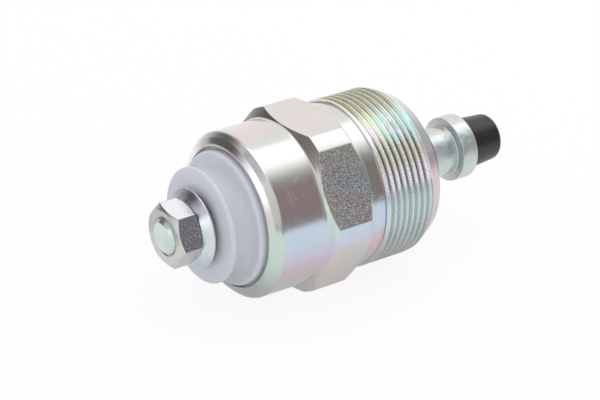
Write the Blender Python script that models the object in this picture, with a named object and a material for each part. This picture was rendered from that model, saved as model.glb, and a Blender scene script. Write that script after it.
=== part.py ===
"""Fuel shutoff solenoid: a screw-in plunger solenoid, lying on one flat of its hexagon.

Metres, +Z up. The axis runs along X, with the plunger tip towards +X. Stations are measured
along the axis from the sealing face of the nose and grow towards the terminal. Each turned
piece is drawn as a half section of (station, radius) corners and spun round the axis.
"""

import math

import bmesh
import bpy
from mathutils import Vector

# Fits
SEAT_GAP = 0.0003
RADIAL_GAP = 0.0003
RING_GAP = 0.00015

# Facets round each turned piece
OUTER_STEPS = 32
INNER_STEPS = 24
RING_SECTION_STEPS = 6
NOSE_RING_SECTION_STEPS = 8
WIRE_TURN_STEPS = 10
BEND_STEPS = 4
FILLET_CHORD = 0.0003
MOST_FILLET_STEPS = 4
SHARP_ANGLE = math.radians(35)
WELD_DISTANCE = 1e-7

# Small edge fillets shared by several pieces
THIN_EDGE_BREAK = 0.0001
EDGE_BREAK = 0.0002
EDGE_ROUNDING = 0.0003

# Housing: nose, thread at its major diameter, smooth ring, hexagon, cup and rolled lip
SPIGOT_RADIUS = 0.0068
SPIGOT_LENGTH = 0.0018
RING_RECESS_DEPTH = 0.0001
NOSE_FACE_RADIUS = 0.01046
NOSE_LENGTH = 0.00285
THREAD_RADIUS = 0.0120
THREAD_LENGTH = 0.00755
RING_RADIUS = 0.0117
RING_LENGTH = 0.0022
HEX_ACROSS_FLATS = 0.0240
HEX_BAR_RADIUS = 0.01313
HEX_LENGTH = 0.0077
HEX_CHAMFER_ANGLE = math.radians(40)
HEX_COVE = 0.0008
CUP_RADIUS = 0.0117
CUP_LENGTH = 0.0070
CRIMP_RISE = 0.0013
CRIMP_BEND = 0.0006
LIP_RADIUS = 0.0098
LIP_SLOPE_WIDTH = 0.0004
LIP_THICKNESS = 0.0006
NOSE_WALL = 0.0032
CHAMBER_RADIUS = 0.0099
COUNTERBORE_RADIUS = 0.0106
COUNTERBORE_DEPTH = 0.0045

# Seal rings
NOSE_RING_SECTION = 0.00085
SEAL_SECTION = 0.0005
SLEEVE_RING_STATION = 0.00105
POLE_RING_LAND = 0.00035
GROOVE_PLAY = 0.00025

# Plunger, its rubber tip and its spring
PLUNGER_RADIUS = 0.00465
PLUNGER_REAR = 0.0170
PLUNGER_STROKE = 0.0035
PLUNGER_SHOULDER = 0.0044
NECK_RADIUS = 0.0035
NECK_LENGTH = 0.0045
NECK_FILLET = 0.0005
COLLAR_LENGTH = 0.0027
STUB_RADIUS = 0.0016
STUB_LENGTH = 0.0032
STUB_HEAD_RADIUS = 0.0022
STUB_HEAD_LENGTH = 0.0016
TIP_LENGTH = 0.0053
TIP_BASE_RADIUS = 0.00375
TIP_END_RADIUS = 0.0033
TIP_ROUNDING = 0.0007
SPRING_BORE_RADIUS = 0.0027
SPRING_BORE_DEPTH = 0.0087
DRILL_POINT = 0.0013
SPRING_RADIUS = 0.0020
SPRING_WIRE = 0.00035
SPRING_TURNS = 8
SPRING_CLOSED_TURNS = 1
SPRING_SEAT_DEPTH = 0.0015

# Guide sleeve, coil and magnetic circuit
SLEEVE_WALL = 0.0005
SHIM_THICKNESS = 0.0004
COIL_WASHER_THICKNESS = 0.0004
COIL_WASHER_DISH = 0.0005
COIL_WASHER_BORE = 0.0063
BOBBIN_WALL = 0.0007
BOBBIN_FLANGE = 0.0009
WINDING_RADIUS = 0.0087
TAPE_THICKNESS = 0.00025
FLUX_PLATE_THICKNESS = 0.0015
POLE_HEAD_THICKNESS = 0.0010
DISC_THICKNESS = 0.0005
LEAD_RADIUS = 0.0004
LEAD_CLEARANCE = 0.0004
LEAD_HOLE_RADIUS = 0.0008
LEAD_HOLE_STEPS = 12
EARTH_TAIL_TURN = math.radians(28)

# Terminal cap, stud, washer and nut
SKIRT_THICKNESS = 0.0012
SKIRT_HEIGHT = 0.0013
CAP_SHOULDER_RISE = 0.0008
CAP_SHOULDER_RADIUS = 0.0095
CAP_SHOULDER_ROUNDING = 0.0007
CAP_NECK_RADIUS = 0.0068
CAP_COVE = 0.0016
CAP_FLANGE_RADIUS = 0.0081
CAP_FLANGE_THICKNESS = 0.0008
CAP_HEIGHT = 0.0074
CAVITY_HEIGHT = 0.0034
CAVITY_ROOF_RADIUS = 0.0058
STUD_RADIUS = 0.0025
STUD_LENGTH = 0.0102
STUD_POINT = 0.0005
STUD_HEAD_FLATS = 0.0080
STUD_HEAD_THICKNESS = 0.0015
STUD_RING_DEPTH = 0.0012
CAP_FRONT_WALL = 0.0011
WASHER_RADIUS = 0.00555
WASHER_THICKNESS = 0.0007
WASHER_DISH = 0.00035
NUT_FLATS = 0.0080
NUT_HEIGHT = 0.0044
NUT_CHAMFER_ANGLE = math.radians(30)
NUT_TURN = math.radians(-5.6)

# How far cutters stand past what they cut
CUTTER_REACH = 0.001
DRILL_REACH = 0.00025

# Stations along the axis
RING_START = NOSE_LENGTH + THREAD_LENGTH
HEX_START = RING_START + RING_LENGTH
HEX_END = HEX_START + HEX_LENGTH
CRIMP_START = HEX_END + CUP_LENGTH
LIP_TOP = CRIMP_START + CRIMP_RISE
LIP_UNDER = LIP_TOP - LIP_THICKNESS
COUNTERBORE_START = LIP_UNDER - COUNTERBORE_DEPTH
FLUX_START = COUNTERBORE_START + SEAT_GAP
FLUX_END = FLUX_START + FLUX_PLATE_THICKNESS
POLE_FACE = PLUNGER_REAR + PLUNGER_STROKE + SHIM_THICKNESS + 2 * SEAT_GAP
POLE_HEAD_START = FLUX_END + SEAT_GAP
POLE_HEAD_END = POLE_HEAD_START + POLE_HEAD_THICKNESS
DISC_START = POLE_HEAD_END + SEAT_GAP
SKIRT_START = FLUX_END + SEAT_GAP
CAP_BASE_TOP = LIP_UNDER - SEAT_GAP
CAP_FRONT = SKIRT_START + CAP_HEIGHT
CAVITY_ROOF = SKIRT_START + CAVITY_HEIGHT
RING_ROOM_END = CAP_FRONT - CAP_FRONT_WALL
RING_ROOM_START = RING_ROOM_END - STUD_RING_DEPTH
STUD_HEAD_END = RING_ROOM_START - SEAT_GAP
STUD_HEAD_START = STUD_HEAD_END - STUD_HEAD_THICKNESS
STUD_END = STUD_HEAD_START + STUD_LENGTH
WASHER_START = CAP_FRONT + SEAT_GAP
COIL_WASHER_START = NOSE_WALL + SEAT_GAP
BOBBIN_START = COIL_WASHER_START + COIL_WASHER_THICKNESS + COIL_WASHER_DISH + SEAT_GAP
BOBBIN_END = FLUX_START - SEAT_GAP
POLE_RING_STATION = BOBBIN_END - POLE_RING_LAND - GROOVE_PLAY - SEAL_SECTION
COLLAR_FRONT = -(PLUNGER_SHOULDER + NECK_LENGTH)
COLLAR_BACK = COLLAR_FRONT - COLLAR_LENGTH
TIP_BASE = COLLAR_BACK - SEAT_GAP
TIP_END = TIP_BASE - TIP_LENGTH
SPRING_BORE_END = PLUNGER_REAR - SPRING_BORE_DEPTH
SPRING_SEAT = POLE_FACE + SPRING_SEAT_DEPTH

# Radii that follow from the fits
SLEEVE_BORE = PLUNGER_RADIUS + RADIAL_GAP
SLEEVE_OUTSIDE = SLEEVE_BORE + SLEEVE_WALL
NOSE_BORE = SLEEVE_OUTSIDE + RADIAL_GAP
BOBBIN_BORE = SLEEVE_OUTSIDE + RADIAL_GAP
BOBBIN_BARREL = BOBBIN_BORE + BOBBIN_WALL
BOBBIN_OUTSIDE = CHAMBER_RADIUS - RADIAL_GAP
POLE_RADIUS = SLEEVE_BORE - RADIAL_GAP
FLUX_OUTSIDE = COUNTERBORE_RADIUS - RADIAL_GAP
CAP_BASE_RADIUS = COUNTERBORE_RADIUS - RADIAL_GAP
CAP_SEAL_RADIUS = COUNTERBORE_RADIUS - RING_GAP - SEAL_SECTION
SKIRT_OUTSIDE = CAP_SEAL_RADIUS - SEAL_SECTION - RING_GAP
SKIRT_INSIDE = SKIRT_OUTSIDE - SKIRT_THICKNESS
LEAD_PITCH_RADIUS = SKIRT_INSIDE - LEAD_CLEARANCE - LEAD_RADIUS
POLE_HEAD_RADIUS = LEAD_PITCH_RADIUS - LEAD_RADIUS - LEAD_CLEARANCE
NOSE_RING_OUTSIDE = SPIGOT_RADIUS + RADIAL_GAP + 2 * NOSE_RING_SECTION
STUD_HOLE = STUD_RADIUS + RADIAL_GAP


def clear_scene():
    for obj in list(bpy.data.objects):
        bpy.data.objects.remove(obj, do_unlink=True)


def finish(name, colour, roughness, metallic):
    """A plain Principled material."""
    material = bpy.data.materials.new(name)
    material.use_nodes = True
    shader = material.node_tree.nodes["Principled BSDF"]
    shader.inputs["Base Color"].default_value = (*colour, 1.0)
    shader.inputs["Roughness"].default_value = roughness
    shader.inputs["Metallic"].default_value = metallic
    material.diffuse_color = (*colour, 1.0)
    return material


def zinc_plate(piece):
    return finish(piece + "_zinc_plate", (0.66, 0.66, 0.62), 0.24, 1.0)


def bare_steel(piece):
    return finish(piece + "_soft_iron", (0.45, 0.45, 0.46), 0.35, 1.0)


def spring_steel(piece):
    return finish(piece + "_spring_steel", (0.30, 0.31, 0.34), 0.30, 1.0)


def brass(piece):
    return finish(piece + "_brass", (0.78, 0.58, 0.27), 0.28, 1.0)


def black_rubber(piece):
    return finish(piece + "_rubber", (0.022, 0.022, 0.022), 0.55, 0.0)


def grey_plastic(piece):
    return finish(piece + "_plastic", (0.55, 0.56, 0.62), 0.40, 0.0)


def black_plastic(piece):
    return finish(piece + "_plastic", (0.03, 0.03, 0.03), 0.45, 0.0)


def enamelled_copper(piece):
    return finish(piece + "_copper", (0.62, 0.24, 0.10), 0.32, 1.0)


def insulation(piece, colour):
    return finish(piece + "_insulation", colour, 0.60, 0.0)


def rounded(corners):
    """The corners as points, each corner that gives a fillet radius turned into an arc."""
    points = []
    for index, corner in enumerate(corners):
        here = Vector(corner[:2])
        fillet = corner[2] if len(corner) > 2 else 0.0
        if not fillet:
            points.append(here)
            continue
        to_last = (Vector(corners[index - 1][:2]) - here).normalized()
        to_next = (Vector(corners[(index + 1) % len(corners)][:2]) - here).normalized()
        half = to_last.angle(to_next) / 2
        centre = here + (to_last + to_next).normalized() * (fillet / math.sin(half))
        start = (here + to_last * (fillet / math.tan(half)) - centre).normalized()
        end = (here + to_next * (fillet / math.tan(half)) - centre).normalized()
        steps = min(MOST_FILLET_STEPS, max(1, round(fillet / FILLET_CHORD)))
        for step in range(steps + 1):
            points.append(centre + start.slerp(end, step / steps) * fillet)
    return points


def place(obj, parent, material):
    bpy.context.scene.collection.objects.link(obj)
    obj.parent = parent
    obj.data.materials.append(material)
    return obj


def mesh_object(name, bm, parent, material, smooth=True):
    bmesh.ops.recalc_face_normals(bm, faces=bm.faces)
    mesh = bpy.data.meshes.new(name)
    bm.to_mesh(mesh)
    bm.free()
    if smooth:
        mesh.shade_smooth()
        mesh.set_sharp_from_angle(angle=SHARP_ANGLE)
    else:
        mesh.shade_flat()
    return place(bpy.data.objects.new(name, mesh), parent, material)


def turned(name, corners, parent, material, steps=OUTER_STEPS):
    """Spins a half section round the axis. Its ends are joined unless both lie on the axis."""
    bm = bmesh.new()
    points = rounded(corners)
    verts = [bm.verts.new((radius, 0.0, station)) for station, radius in points]
    edges = [bm.edges.new(pair) for pair in zip(verts, verts[1:])]
    if points[0][1] or points[-1][1]:
        edges.append(bm.edges.new((verts[-1], verts[0])))
    bmesh.ops.spin(
        bm,
        geom=verts + edges,
        axis=(0.0, 0.0, 1.0),
        angle=2 * math.pi,
        steps=steps,
        use_merge=True,
    )
    bmesh.ops.remove_doubles(bm, verts=bm.verts, dist=WELD_DISTANCE)
    return mesh_object(name, bm, parent, material)


def seal_ring(name, station, mean_radius, section, parent, steps=INNER_STEPS, sides=RING_SECTION_STEPS):
    """A rubber ring of round section."""
    corners = []
    for side in range(sides):
        angle = 2 * math.pi * side / sides
        corners.append((station + section * math.cos(angle), mean_radius + section * math.sin(angle)))
    return turned(name, corners, parent, black_rubber(name), steps)


def prism(name, sides, across_flats, start, end, parent, material, turn=0.0):
    """A flat-shaded prism along the axis, with one flat facing up when its turn is zero."""
    bm = bmesh.new()
    corner_radius = across_flats / 2 / math.cos(math.pi / sides)
    angles = [turn + math.pi * (2 * side + 1) / sides for side in range(sides)]
    rings = [[bm.verts.new(polar(corner_radius, a, station)) for a in angles] for station in (start, end)]
    for side in range(sides):
        after = (side + 1) % sides
        bm.faces.new((rings[0][side], rings[0][after], rings[1][after], rings[1][side]))
    for ring in rings:
        bm.faces.new(ring)
    return mesh_object(name, bm, parent, material, smooth=False)


def wire(name, path, radius, parent, material):
    """A round wire along a list of points."""
    curve = bpy.data.curves.new(name, "CURVE")
    curve.dimensions = "3D"
    curve.bevel_depth = radius
    curve.bevel_resolution = 1
    curve.use_fill_caps = True
    spline = curve.splines.new("POLY")
    spline.points.add(len(path) - 1)
    for point, at in zip(spline.points, path):
        point.co = (*at, 1.0)
    return place(bpy.data.objects.new(name, curve), parent, material)


def boolean(obj, helper, operation):
    """Joins, cuts or trims an object by a helper, which stays hidden."""
    helper.hide_render = True
    helper.display_type = "WIRE"
    modifier = obj.modifiers.new(helper.name, "BOOLEAN")
    modifier.object = helper
    modifier.operation = operation
    modifier.solver = "EXACT"


def polar(radius, angle, station):
    return Vector((radius * math.cos(angle), radius * math.sin(angle), station))


def hexagon_cutter(parent, material):
    """The stock outside the spanner flats: a hexagonal tube round the bar."""
    outside = turned(
        "hexagon_stock",
        [
            (HEX_START - CUTTER_REACH, 0.0),
            (HEX_START - CUTTER_REACH, HEX_BAR_RADIUS + CUTTER_REACH),
            (HEX_END + CUTTER_REACH, HEX_BAR_RADIUS + CUTTER_REACH),
            (HEX_END + CUTTER_REACH, 0.0),
        ],
        parent,
        material,
        steps=INNER_STEPS,
    )
    kept = prism(
        "hexagon_kept",
        6,
        HEX_ACROSS_FLATS,
        HEX_START - 2 * CUTTER_REACH,
        HEX_END + 2 * CUTTER_REACH,
        parent,
        material,
    )
    boolean(outside, kept, "DIFFERENCE")
    return outside


def make_housing(parent):
    """One steel piece: nose, thread blank, ring, hexagon and cup, its lip rolled in over the cap."""
    material = zinc_plate("housing")
    groove_half = SEAL_SECTION + GROOVE_PLAY
    groove_radius = SLEEVE_OUTSIDE + 2 * (RING_GAP + SEAL_SECTION)
    chamfer_slope = math.tan(HEX_CHAMFER_ANGLE)
    section = [
        (-SPIGOT_LENGTH, SPIGOT_RADIUS, EDGE_BREAK),
        (RING_RECESS_DEPTH, SPIGOT_RADIUS),
        (RING_RECESS_DEPTH, NOSE_RING_OUTSIDE + RING_GAP),
        (0.0, NOSE_RING_OUTSIDE + RING_GAP),
        (0.0, NOSE_FACE_RADIUS, EDGE_BREAK),
        (NOSE_LENGTH, THREAD_RADIUS),
        (RING_START, THREAD_RADIUS),
        (RING_START, RING_RADIUS),
        (HEX_START, RING_RADIUS),
        (HEX_START + (HEX_BAR_RADIUS - RING_RADIUS) * chamfer_slope, HEX_BAR_RADIUS),
        (HEX_END - (HEX_BAR_RADIUS - CUP_RADIUS) * chamfer_slope, HEX_BAR_RADIUS),
        (HEX_END, CUP_RADIUS, HEX_COVE),
        (CRIMP_START, CUP_RADIUS, CRIMP_BEND),
        (LIP_TOP, LIP_RADIUS + LIP_SLOPE_WIDTH, EDGE_BREAK),
        (LIP_TOP, LIP_RADIUS, THIN_EDGE_BREAK),
        (LIP_UNDER, LIP_RADIUS),
        (LIP_UNDER, COUNTERBORE_RADIUS),
        (COUNTERBORE_START, COUNTERBORE_RADIUS),
        (COUNTERBORE_START, CHAMBER_RADIUS),
        (NOSE_WALL, CHAMBER_RADIUS),
        (NOSE_WALL, NOSE_BORE),
        (SLEEVE_RING_STATION + groove_half, NOSE_BORE),
        (SLEEVE_RING_STATION + groove_half, groove_radius),
        (SLEEVE_RING_STATION - groove_half, groove_radius),
        (SLEEVE_RING_STATION - groove_half, NOSE_BORE),
        (-SPIGOT_LENGTH, NOSE_BORE),
    ]
    housing = turned("housing", section, parent, material)
    boolean(housing, hexagon_cutter(parent, material), "DIFFERENCE")


def make_seals(parent):
    seal_ring(
        "nose_o_ring",
        RING_RECESS_DEPTH - SEAT_GAP - NOSE_RING_SECTION,
        NOSE_RING_OUTSIDE - NOSE_RING_SECTION,
        NOSE_RING_SECTION,
        parent,
        OUTER_STEPS,
        NOSE_RING_SECTION_STEPS,
    )
    seal_ring(
        "sleeve_o_ring",
        SLEEVE_RING_STATION,
        SLEEVE_OUTSIDE + RING_GAP + SEAL_SECTION,
        SEAL_SECTION,
        parent,
    )
    seal_ring(
        "pole_o_ring",
        POLE_RING_STATION,
        SLEEVE_BORE - RING_GAP - SEAL_SECTION,
        SEAL_SECTION,
        parent,
    )
    seal_ring(
        "cap_seal_ring",
        FLUX_END + RING_GAP + SEAL_SECTION,
        CAP_SEAL_RADIUS,
        SEAL_SECTION,
        parent,
        OUTER_STEPS,
    )
    seal_ring(
        "stud_o_ring",
        (RING_ROOM_START + RING_ROOM_END) / 2,
        STUD_RADIUS + RING_GAP + SEAL_SECTION,
        SEAL_SECTION,
        parent,
    )


def make_plunger(parent):
    """Armature, neck, collar and barbed stub in one turned piece, bored for the spring."""
    stub_end = COLLAR_BACK - STUB_LENGTH
    section = [
        (SPRING_BORE_END - DRILL_POINT, 0.0),
        (SPRING_BORE_END, SPRING_BORE_RADIUS),
        (PLUNGER_REAR, SPRING_BORE_RADIUS),
        (PLUNGER_REAR, PLUNGER_RADIUS, EDGE_ROUNDING),
        (-PLUNGER_SHOULDER, PLUNGER_RADIUS, EDGE_ROUNDING),
        (-PLUNGER_SHOULDER, NECK_RADIUS, EDGE_ROUNDING),
        (COLLAR_FRONT, NECK_RADIUS, NECK_FILLET),
        (COLLAR_FRONT, PLUNGER_RADIUS, EDGE_BREAK),
        (COLLAR_BACK, PLUNGER_RADIUS, EDGE_ROUNDING),
        (COLLAR_BACK, STUB_RADIUS),
        (stub_end + STUB_HEAD_LENGTH, STUB_RADIUS),
        (stub_end + STUB_HEAD_LENGTH, STUB_HEAD_RADIUS),
        (stub_end, STUB_RADIUS),
        (stub_end, 0.0),
    ]
    turned("plunger", section, parent, zinc_plate("plunger"))


def make_plunger_tip(parent):
    """Rubber valve tip, moulded hollow and pushed over the barb of the plunger's stub."""
    room_start = COLLAR_BACK - STUB_LENGTH + STUB_HEAD_LENGTH + SEAT_GAP
    room_end = COLLAR_BACK - STUB_LENGTH - SEAT_GAP
    section = [
        (room_end, 0.0),
        (room_end, STUB_HEAD_RADIUS + RADIAL_GAP),
        (room_start, STUB_HEAD_RADIUS + RADIAL_GAP),
        (room_start, STUB_RADIUS + RADIAL_GAP),
        (TIP_BASE, STUB_RADIUS + RADIAL_GAP),
        (TIP_BASE, TIP_BASE_RADIUS),
        (TIP_END, TIP_END_RADIUS, TIP_ROUNDING),
        (TIP_END, 0.0),
    ]
    turned("plunger_tip", section, parent, black_rubber("plunger_tip"))


def make_return_spring(parent):
    """Compression spring between the bore of the plunger and the seat in the pole piece."""
    start = SPRING_BORE_END + SEAT_GAP + SPRING_WIRE
    end = SPRING_SEAT - SEAT_GAP - SPRING_WIRE
    closed_pitch = 2 * SPRING_WIRE + RING_GAP
    open_turns = SPRING_TURNS - 2 * SPRING_CLOSED_TURNS
    open_pitch = (end - start - 2 * SPRING_CLOSED_TURNS * closed_pitch) / open_turns
    station = start
    path = []
    for step in range(SPRING_TURNS * WIRE_TURN_STEPS + 1):
        path.append(polar(SPRING_RADIUS, 2 * math.pi * step / WIRE_TURN_STEPS, station))
        middle = (step + 0.5) / WIRE_TURN_STEPS
        closed = min(middle, SPRING_TURNS - middle) < SPRING_CLOSED_TURNS
        station += (closed_pitch if closed else open_pitch) / WIRE_TURN_STEPS
    wire("return_spring", path, SPRING_WIRE, parent, spring_steel("return_spring"))


def make_guide_sleeve(parent):
    section = [
        (-SPIGOT_LENGTH, SLEEVE_BORE),
        (-SPIGOT_LENGTH, SLEEVE_OUTSIDE),
        (BOBBIN_END, SLEEVE_OUTSIDE),
        (BOBBIN_END, SLEEVE_BORE),
    ]
    turned("guide_sleeve", section, parent, brass("guide_sleeve"))


def make_pole_piece(parent):
    """Fixed core at the end of the plunger's travel, its head closing the flux plate."""
    groove_half = SEAL_SECTION + GROOVE_PLAY
    groove_radius = SLEEVE_BORE - 2 * RING_GAP - 2 * SEAL_SECTION
    section = [
        (SPRING_SEAT, 0.0),
        (SPRING_SEAT, SPRING_BORE_RADIUS),
        (POLE_FACE, SPRING_BORE_RADIUS),
        (POLE_FACE, POLE_RADIUS, EDGE_BREAK),
        (POLE_RING_STATION - groove_half, POLE_RADIUS),
        (POLE_RING_STATION - groove_half, groove_radius),
        (POLE_RING_STATION + groove_half, groove_radius),
        (POLE_RING_STATION + groove_half, POLE_RADIUS),
        (POLE_HEAD_START, POLE_RADIUS),
        (POLE_HEAD_START, POLE_HEAD_RADIUS),
        (POLE_HEAD_END, POLE_HEAD_RADIUS, EDGE_BREAK),
        (POLE_HEAD_END, 0.0),
    ]
    turned("pole_piece", section, parent, bare_steel("pole_piece"), INNER_STEPS)


def flat_ring(name, start, thickness, bore, outside, parent, material, dish=0.0, rim=0.0, steps=INNER_STEPS):
    """A washer. Its outer edge stands towards the terminal by the dish."""
    section = [
        (start, bore),
        (start + dish, outside, rim),
        (start + dish + thickness, outside, rim),
        (start + thickness, bore),
    ]
    return turned(name, section, parent, material, steps)


def make_coil(parent):
    """Bobbin with its winding, the tape round it and the washer that takes up its play."""
    winding_start = BOBBIN_START + BOBBIN_FLANGE + SEAT_GAP
    winding_length = BOBBIN_END - BOBBIN_FLANGE - SEAT_GAP - winding_start
    section = [
        (BOBBIN_START, BOBBIN_BORE),
        (BOBBIN_START, BOBBIN_OUTSIDE),
        (BOBBIN_START + BOBBIN_FLANGE, BOBBIN_OUTSIDE),
        (BOBBIN_START + BOBBIN_FLANGE, BOBBIN_BARREL),
        (BOBBIN_END - BOBBIN_FLANGE, BOBBIN_BARREL),
        (BOBBIN_END - BOBBIN_FLANGE, BOBBIN_OUTSIDE),
        (BOBBIN_END, BOBBIN_OUTSIDE),
        (BOBBIN_END, BOBBIN_BORE),
    ]
    bobbin = turned("coil_bobbin", section, parent, black_plastic("coil_bobbin"), INNER_STEPS)
    drill_lead_holes(bobbin, BOBBIN_END - BOBBIN_FLANGE, BOBBIN_END, parent)
    flat_ring(
        "coil_winding",
        winding_start,
        winding_length,
        BOBBIN_BARREL + RADIAL_GAP,
        WINDING_RADIUS,
        parent,
        enamelled_copper("coil_winding"),
    )
    flat_ring(
        "winding_tape",
        winding_start + SEAT_GAP,
        winding_length - 2 * SEAT_GAP,
        WINDING_RADIUS + RADIAL_GAP,
        WINDING_RADIUS + RADIAL_GAP + TAPE_THICKNESS,
        parent,
        insulation("winding_tape", (0.75, 0.62, 0.20)),
    )
    flat_ring(
        "coil_spring_washer",
        COIL_WASHER_START,
        COIL_WASHER_THICKNESS,
        COIL_WASHER_BORE,
        BOBBIN_OUTSIDE,
        parent,
        spring_steel("coil_spring_washer"),
        dish=COIL_WASHER_DISH,
    )


def drill_lead_holes(obj, start, end, parent):
    """Two holes on the leads' pitch circle, one each side of the axis."""
    for side, angle in (("live", 0.0), ("earth", math.pi)):
        drill = prism(
            f"{obj.name}_{side}_drill",
            LEAD_HOLE_STEPS,
            2 * LEAD_HOLE_RADIUS,
            start - DRILL_REACH,
            end + DRILL_REACH,
            parent,
            obj.data.materials[0],
        )
        drill.location = polar(LEAD_PITCH_RADIUS, angle, 0.0)
        boolean(obj, drill, "DIFFERENCE")


def make_circuit(parent):
    """Shim on the pole face, flux plate that closes the iron circuit, and the disc over it."""
    flat_ring(
        "stop_shim",
        PLUNGER_REAR + PLUNGER_STROKE + SEAT_GAP,
        SHIM_THICKNESS,
        SPRING_BORE_RADIUS,
        POLE_RADIUS,
        parent,
        brass("stop_shim"),
    )
    plate = flat_ring(
        "flux_plate",
        FLUX_START,
        FLUX_PLATE_THICKNESS,
        POLE_RADIUS + RADIAL_GAP,
        FLUX_OUTSIDE,
        parent,
        bare_steel("flux_plate"),
        steps=OUTER_STEPS,
    )
    drill_lead_holes(plate, FLUX_START, FLUX_END, parent)
    turned(
        "insulating_disc",
        [
            (DISC_START, 0.0),
            (DISC_START, POLE_HEAD_RADIUS),
            (DISC_START + DISC_THICKNESS, POLE_HEAD_RADIUS),
            (DISC_START + DISC_THICKNESS, 0.0),
        ],
        parent,
        insulation("insulating_disc", (0.50, 0.30, 0.14)),
        INNER_STEPS,
    )


def quarter_bend(corner, along, towards, radius):
    """Points of a bend that comes into a corner along one direction and leaves along another."""
    centre = corner - along * radius + towards * radius
    points = []
    for step in range(BEND_STEPS + 1):
        angle = math.pi / 2 * step / BEND_STEPS
        points.append(centre - towards * (radius * math.cos(angle)) + along * (radius * math.sin(angle)))
    return points


def make_leads(parent):
    """Live lead from the coil to the stud's head, and earth lead laid on the flux plate."""
    up = Vector((0.0, 0.0, 1.0))
    inwards = Vector((-1.0, 0.0, 0.0))
    foot = BOBBIN_END - BOBBIN_FLANGE
    bend = 2 * LEAD_RADIUS
    over_disc = (DISC_START + DISC_THICKNESS + STUD_HEAD_START) / 2
    path = [polar(LEAD_PITCH_RADIUS, 0.0, foot)]
    path += quarter_bend(polar(LEAD_PITCH_RADIUS, 0.0, over_disc), up, inwards, bend)
    path.append(polar(STUD_RADIUS, 0.0, over_disc))
    wire("live_lead", path, LEAD_RADIUS, parent, insulation("live_lead", (0.55, 0.05, 0.04)))

    on_plate = FLUX_END + SEAT_GAP + LEAD_RADIUS
    path = [polar(LEAD_PITCH_RADIUS, math.pi, foot)]
    path += quarter_bend(polar(LEAD_PITCH_RADIUS, math.pi, on_plate), up, Vector((0.0, -1.0, 0.0)), bend)
    start = bend / LEAD_PITCH_RADIUS
    for step in range(1, BEND_STEPS + 1):
        turn = start + (EARTH_TAIL_TURN - start) * step / BEND_STEPS
        path.append(polar(LEAD_PITCH_RADIUS, math.pi + turn, on_plate))
    wire("earth_lead", path, LEAD_RADIUS, parent, insulation("earth_lead", (0.03, 0.03, 0.03)))


def make_terminal_cap(parent):
    """Moulded cap: skirt and base under the rolled lip, coved neck, and flange round the terminal."""
    material = grey_plastic("terminal_cap")
    flange_back = CAP_FRONT - CAP_FLANGE_THICKNESS
    roof_slope = SKIRT_INSIDE - CAVITY_ROOF_RADIUS
    ring_room_radius = STUD_RADIUS + 2 * (RING_GAP + SEAL_SECTION)
    section = [
        (SKIRT_START, SKIRT_INSIDE),
        (SKIRT_START, SKIRT_OUTSIDE),
        (SKIRT_START + SKIRT_HEIGHT, SKIRT_OUTSIDE),
        (SKIRT_START + SKIRT_HEIGHT, CAP_BASE_RADIUS),
        (CAP_BASE_TOP, CAP_BASE_RADIUS),
        (CAP_BASE_TOP, CAP_SHOULDER_RADIUS),
        (LIP_TOP + CAP_SHOULDER_RISE, CAP_SHOULDER_RADIUS, CAP_SHOULDER_ROUNDING),
        (LIP_TOP + CAP_SHOULDER_RISE, CAP_NECK_RADIUS, CAP_COVE),
        (flange_back, CAP_NECK_RADIUS, EDGE_ROUNDING),
        (flange_back, CAP_FLANGE_RADIUS, EDGE_ROUNDING),
        (CAP_FRONT, CAP_FLANGE_RADIUS, EDGE_ROUNDING),
        (CAP_FRONT, STUD_HOLE),
        (RING_ROOM_END, STUD_HOLE),
        (RING_ROOM_END, ring_room_radius),
        (CAVITY_ROOF, ring_room_radius),
        (CAVITY_ROOF, CAVITY_ROOF_RADIUS),
        (CAVITY_ROOF - roof_slope / 2, SKIRT_INSIDE),
    ]
    cap = turned("terminal_cap", section, parent, material)
    recess = prism(
        "stud_head_recess",
        6,
        STUD_HEAD_FLATS + 2 * RADIAL_GAP,
        CAVITY_ROOF - DRILL_REACH,
        RING_ROOM_START,
        parent,
        material,
    )
    boolean(cap, recess, "DIFFERENCE")


def make_terminal_stud(parent):
    """Threaded stud on a hexagonal head, which the recess in the cap keeps from turning."""
    material = zinc_plate("terminal_stud")
    section = [
        (STUD_HEAD_START + STUD_HEAD_THICKNESS / 2, 0.0),
        (STUD_HEAD_START + STUD_HEAD_THICKNESS / 2, STUD_RADIUS),
        (STUD_END - STUD_POINT, STUD_RADIUS),
        (STUD_END, STUD_RADIUS - STUD_POINT),
        (STUD_END, 0.0),
    ]
    stud = turned("terminal_stud", section, parent, material, INNER_STEPS)
    head = prism(
        "stud_head",
        6,
        STUD_HEAD_FLATS,
        STUD_HEAD_START,
        STUD_HEAD_END,
        parent,
        material,
    )
    boolean(stud, head, "UNION")


def make_terminal_washer(parent):
    """Conical spring washer, its hollow side towards the nut."""
    flat_ring(
        "terminal_washer",
        WASHER_START,
        WASHER_THICKNESS,
        STUD_HOLE,
        WASHER_RADIUS,
        parent,
        zinc_plate("terminal_washer"),
        dish=WASHER_DISH,
        rim=THIN_EDGE_BREAK,
        steps=OUTER_STEPS,
    )


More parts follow.
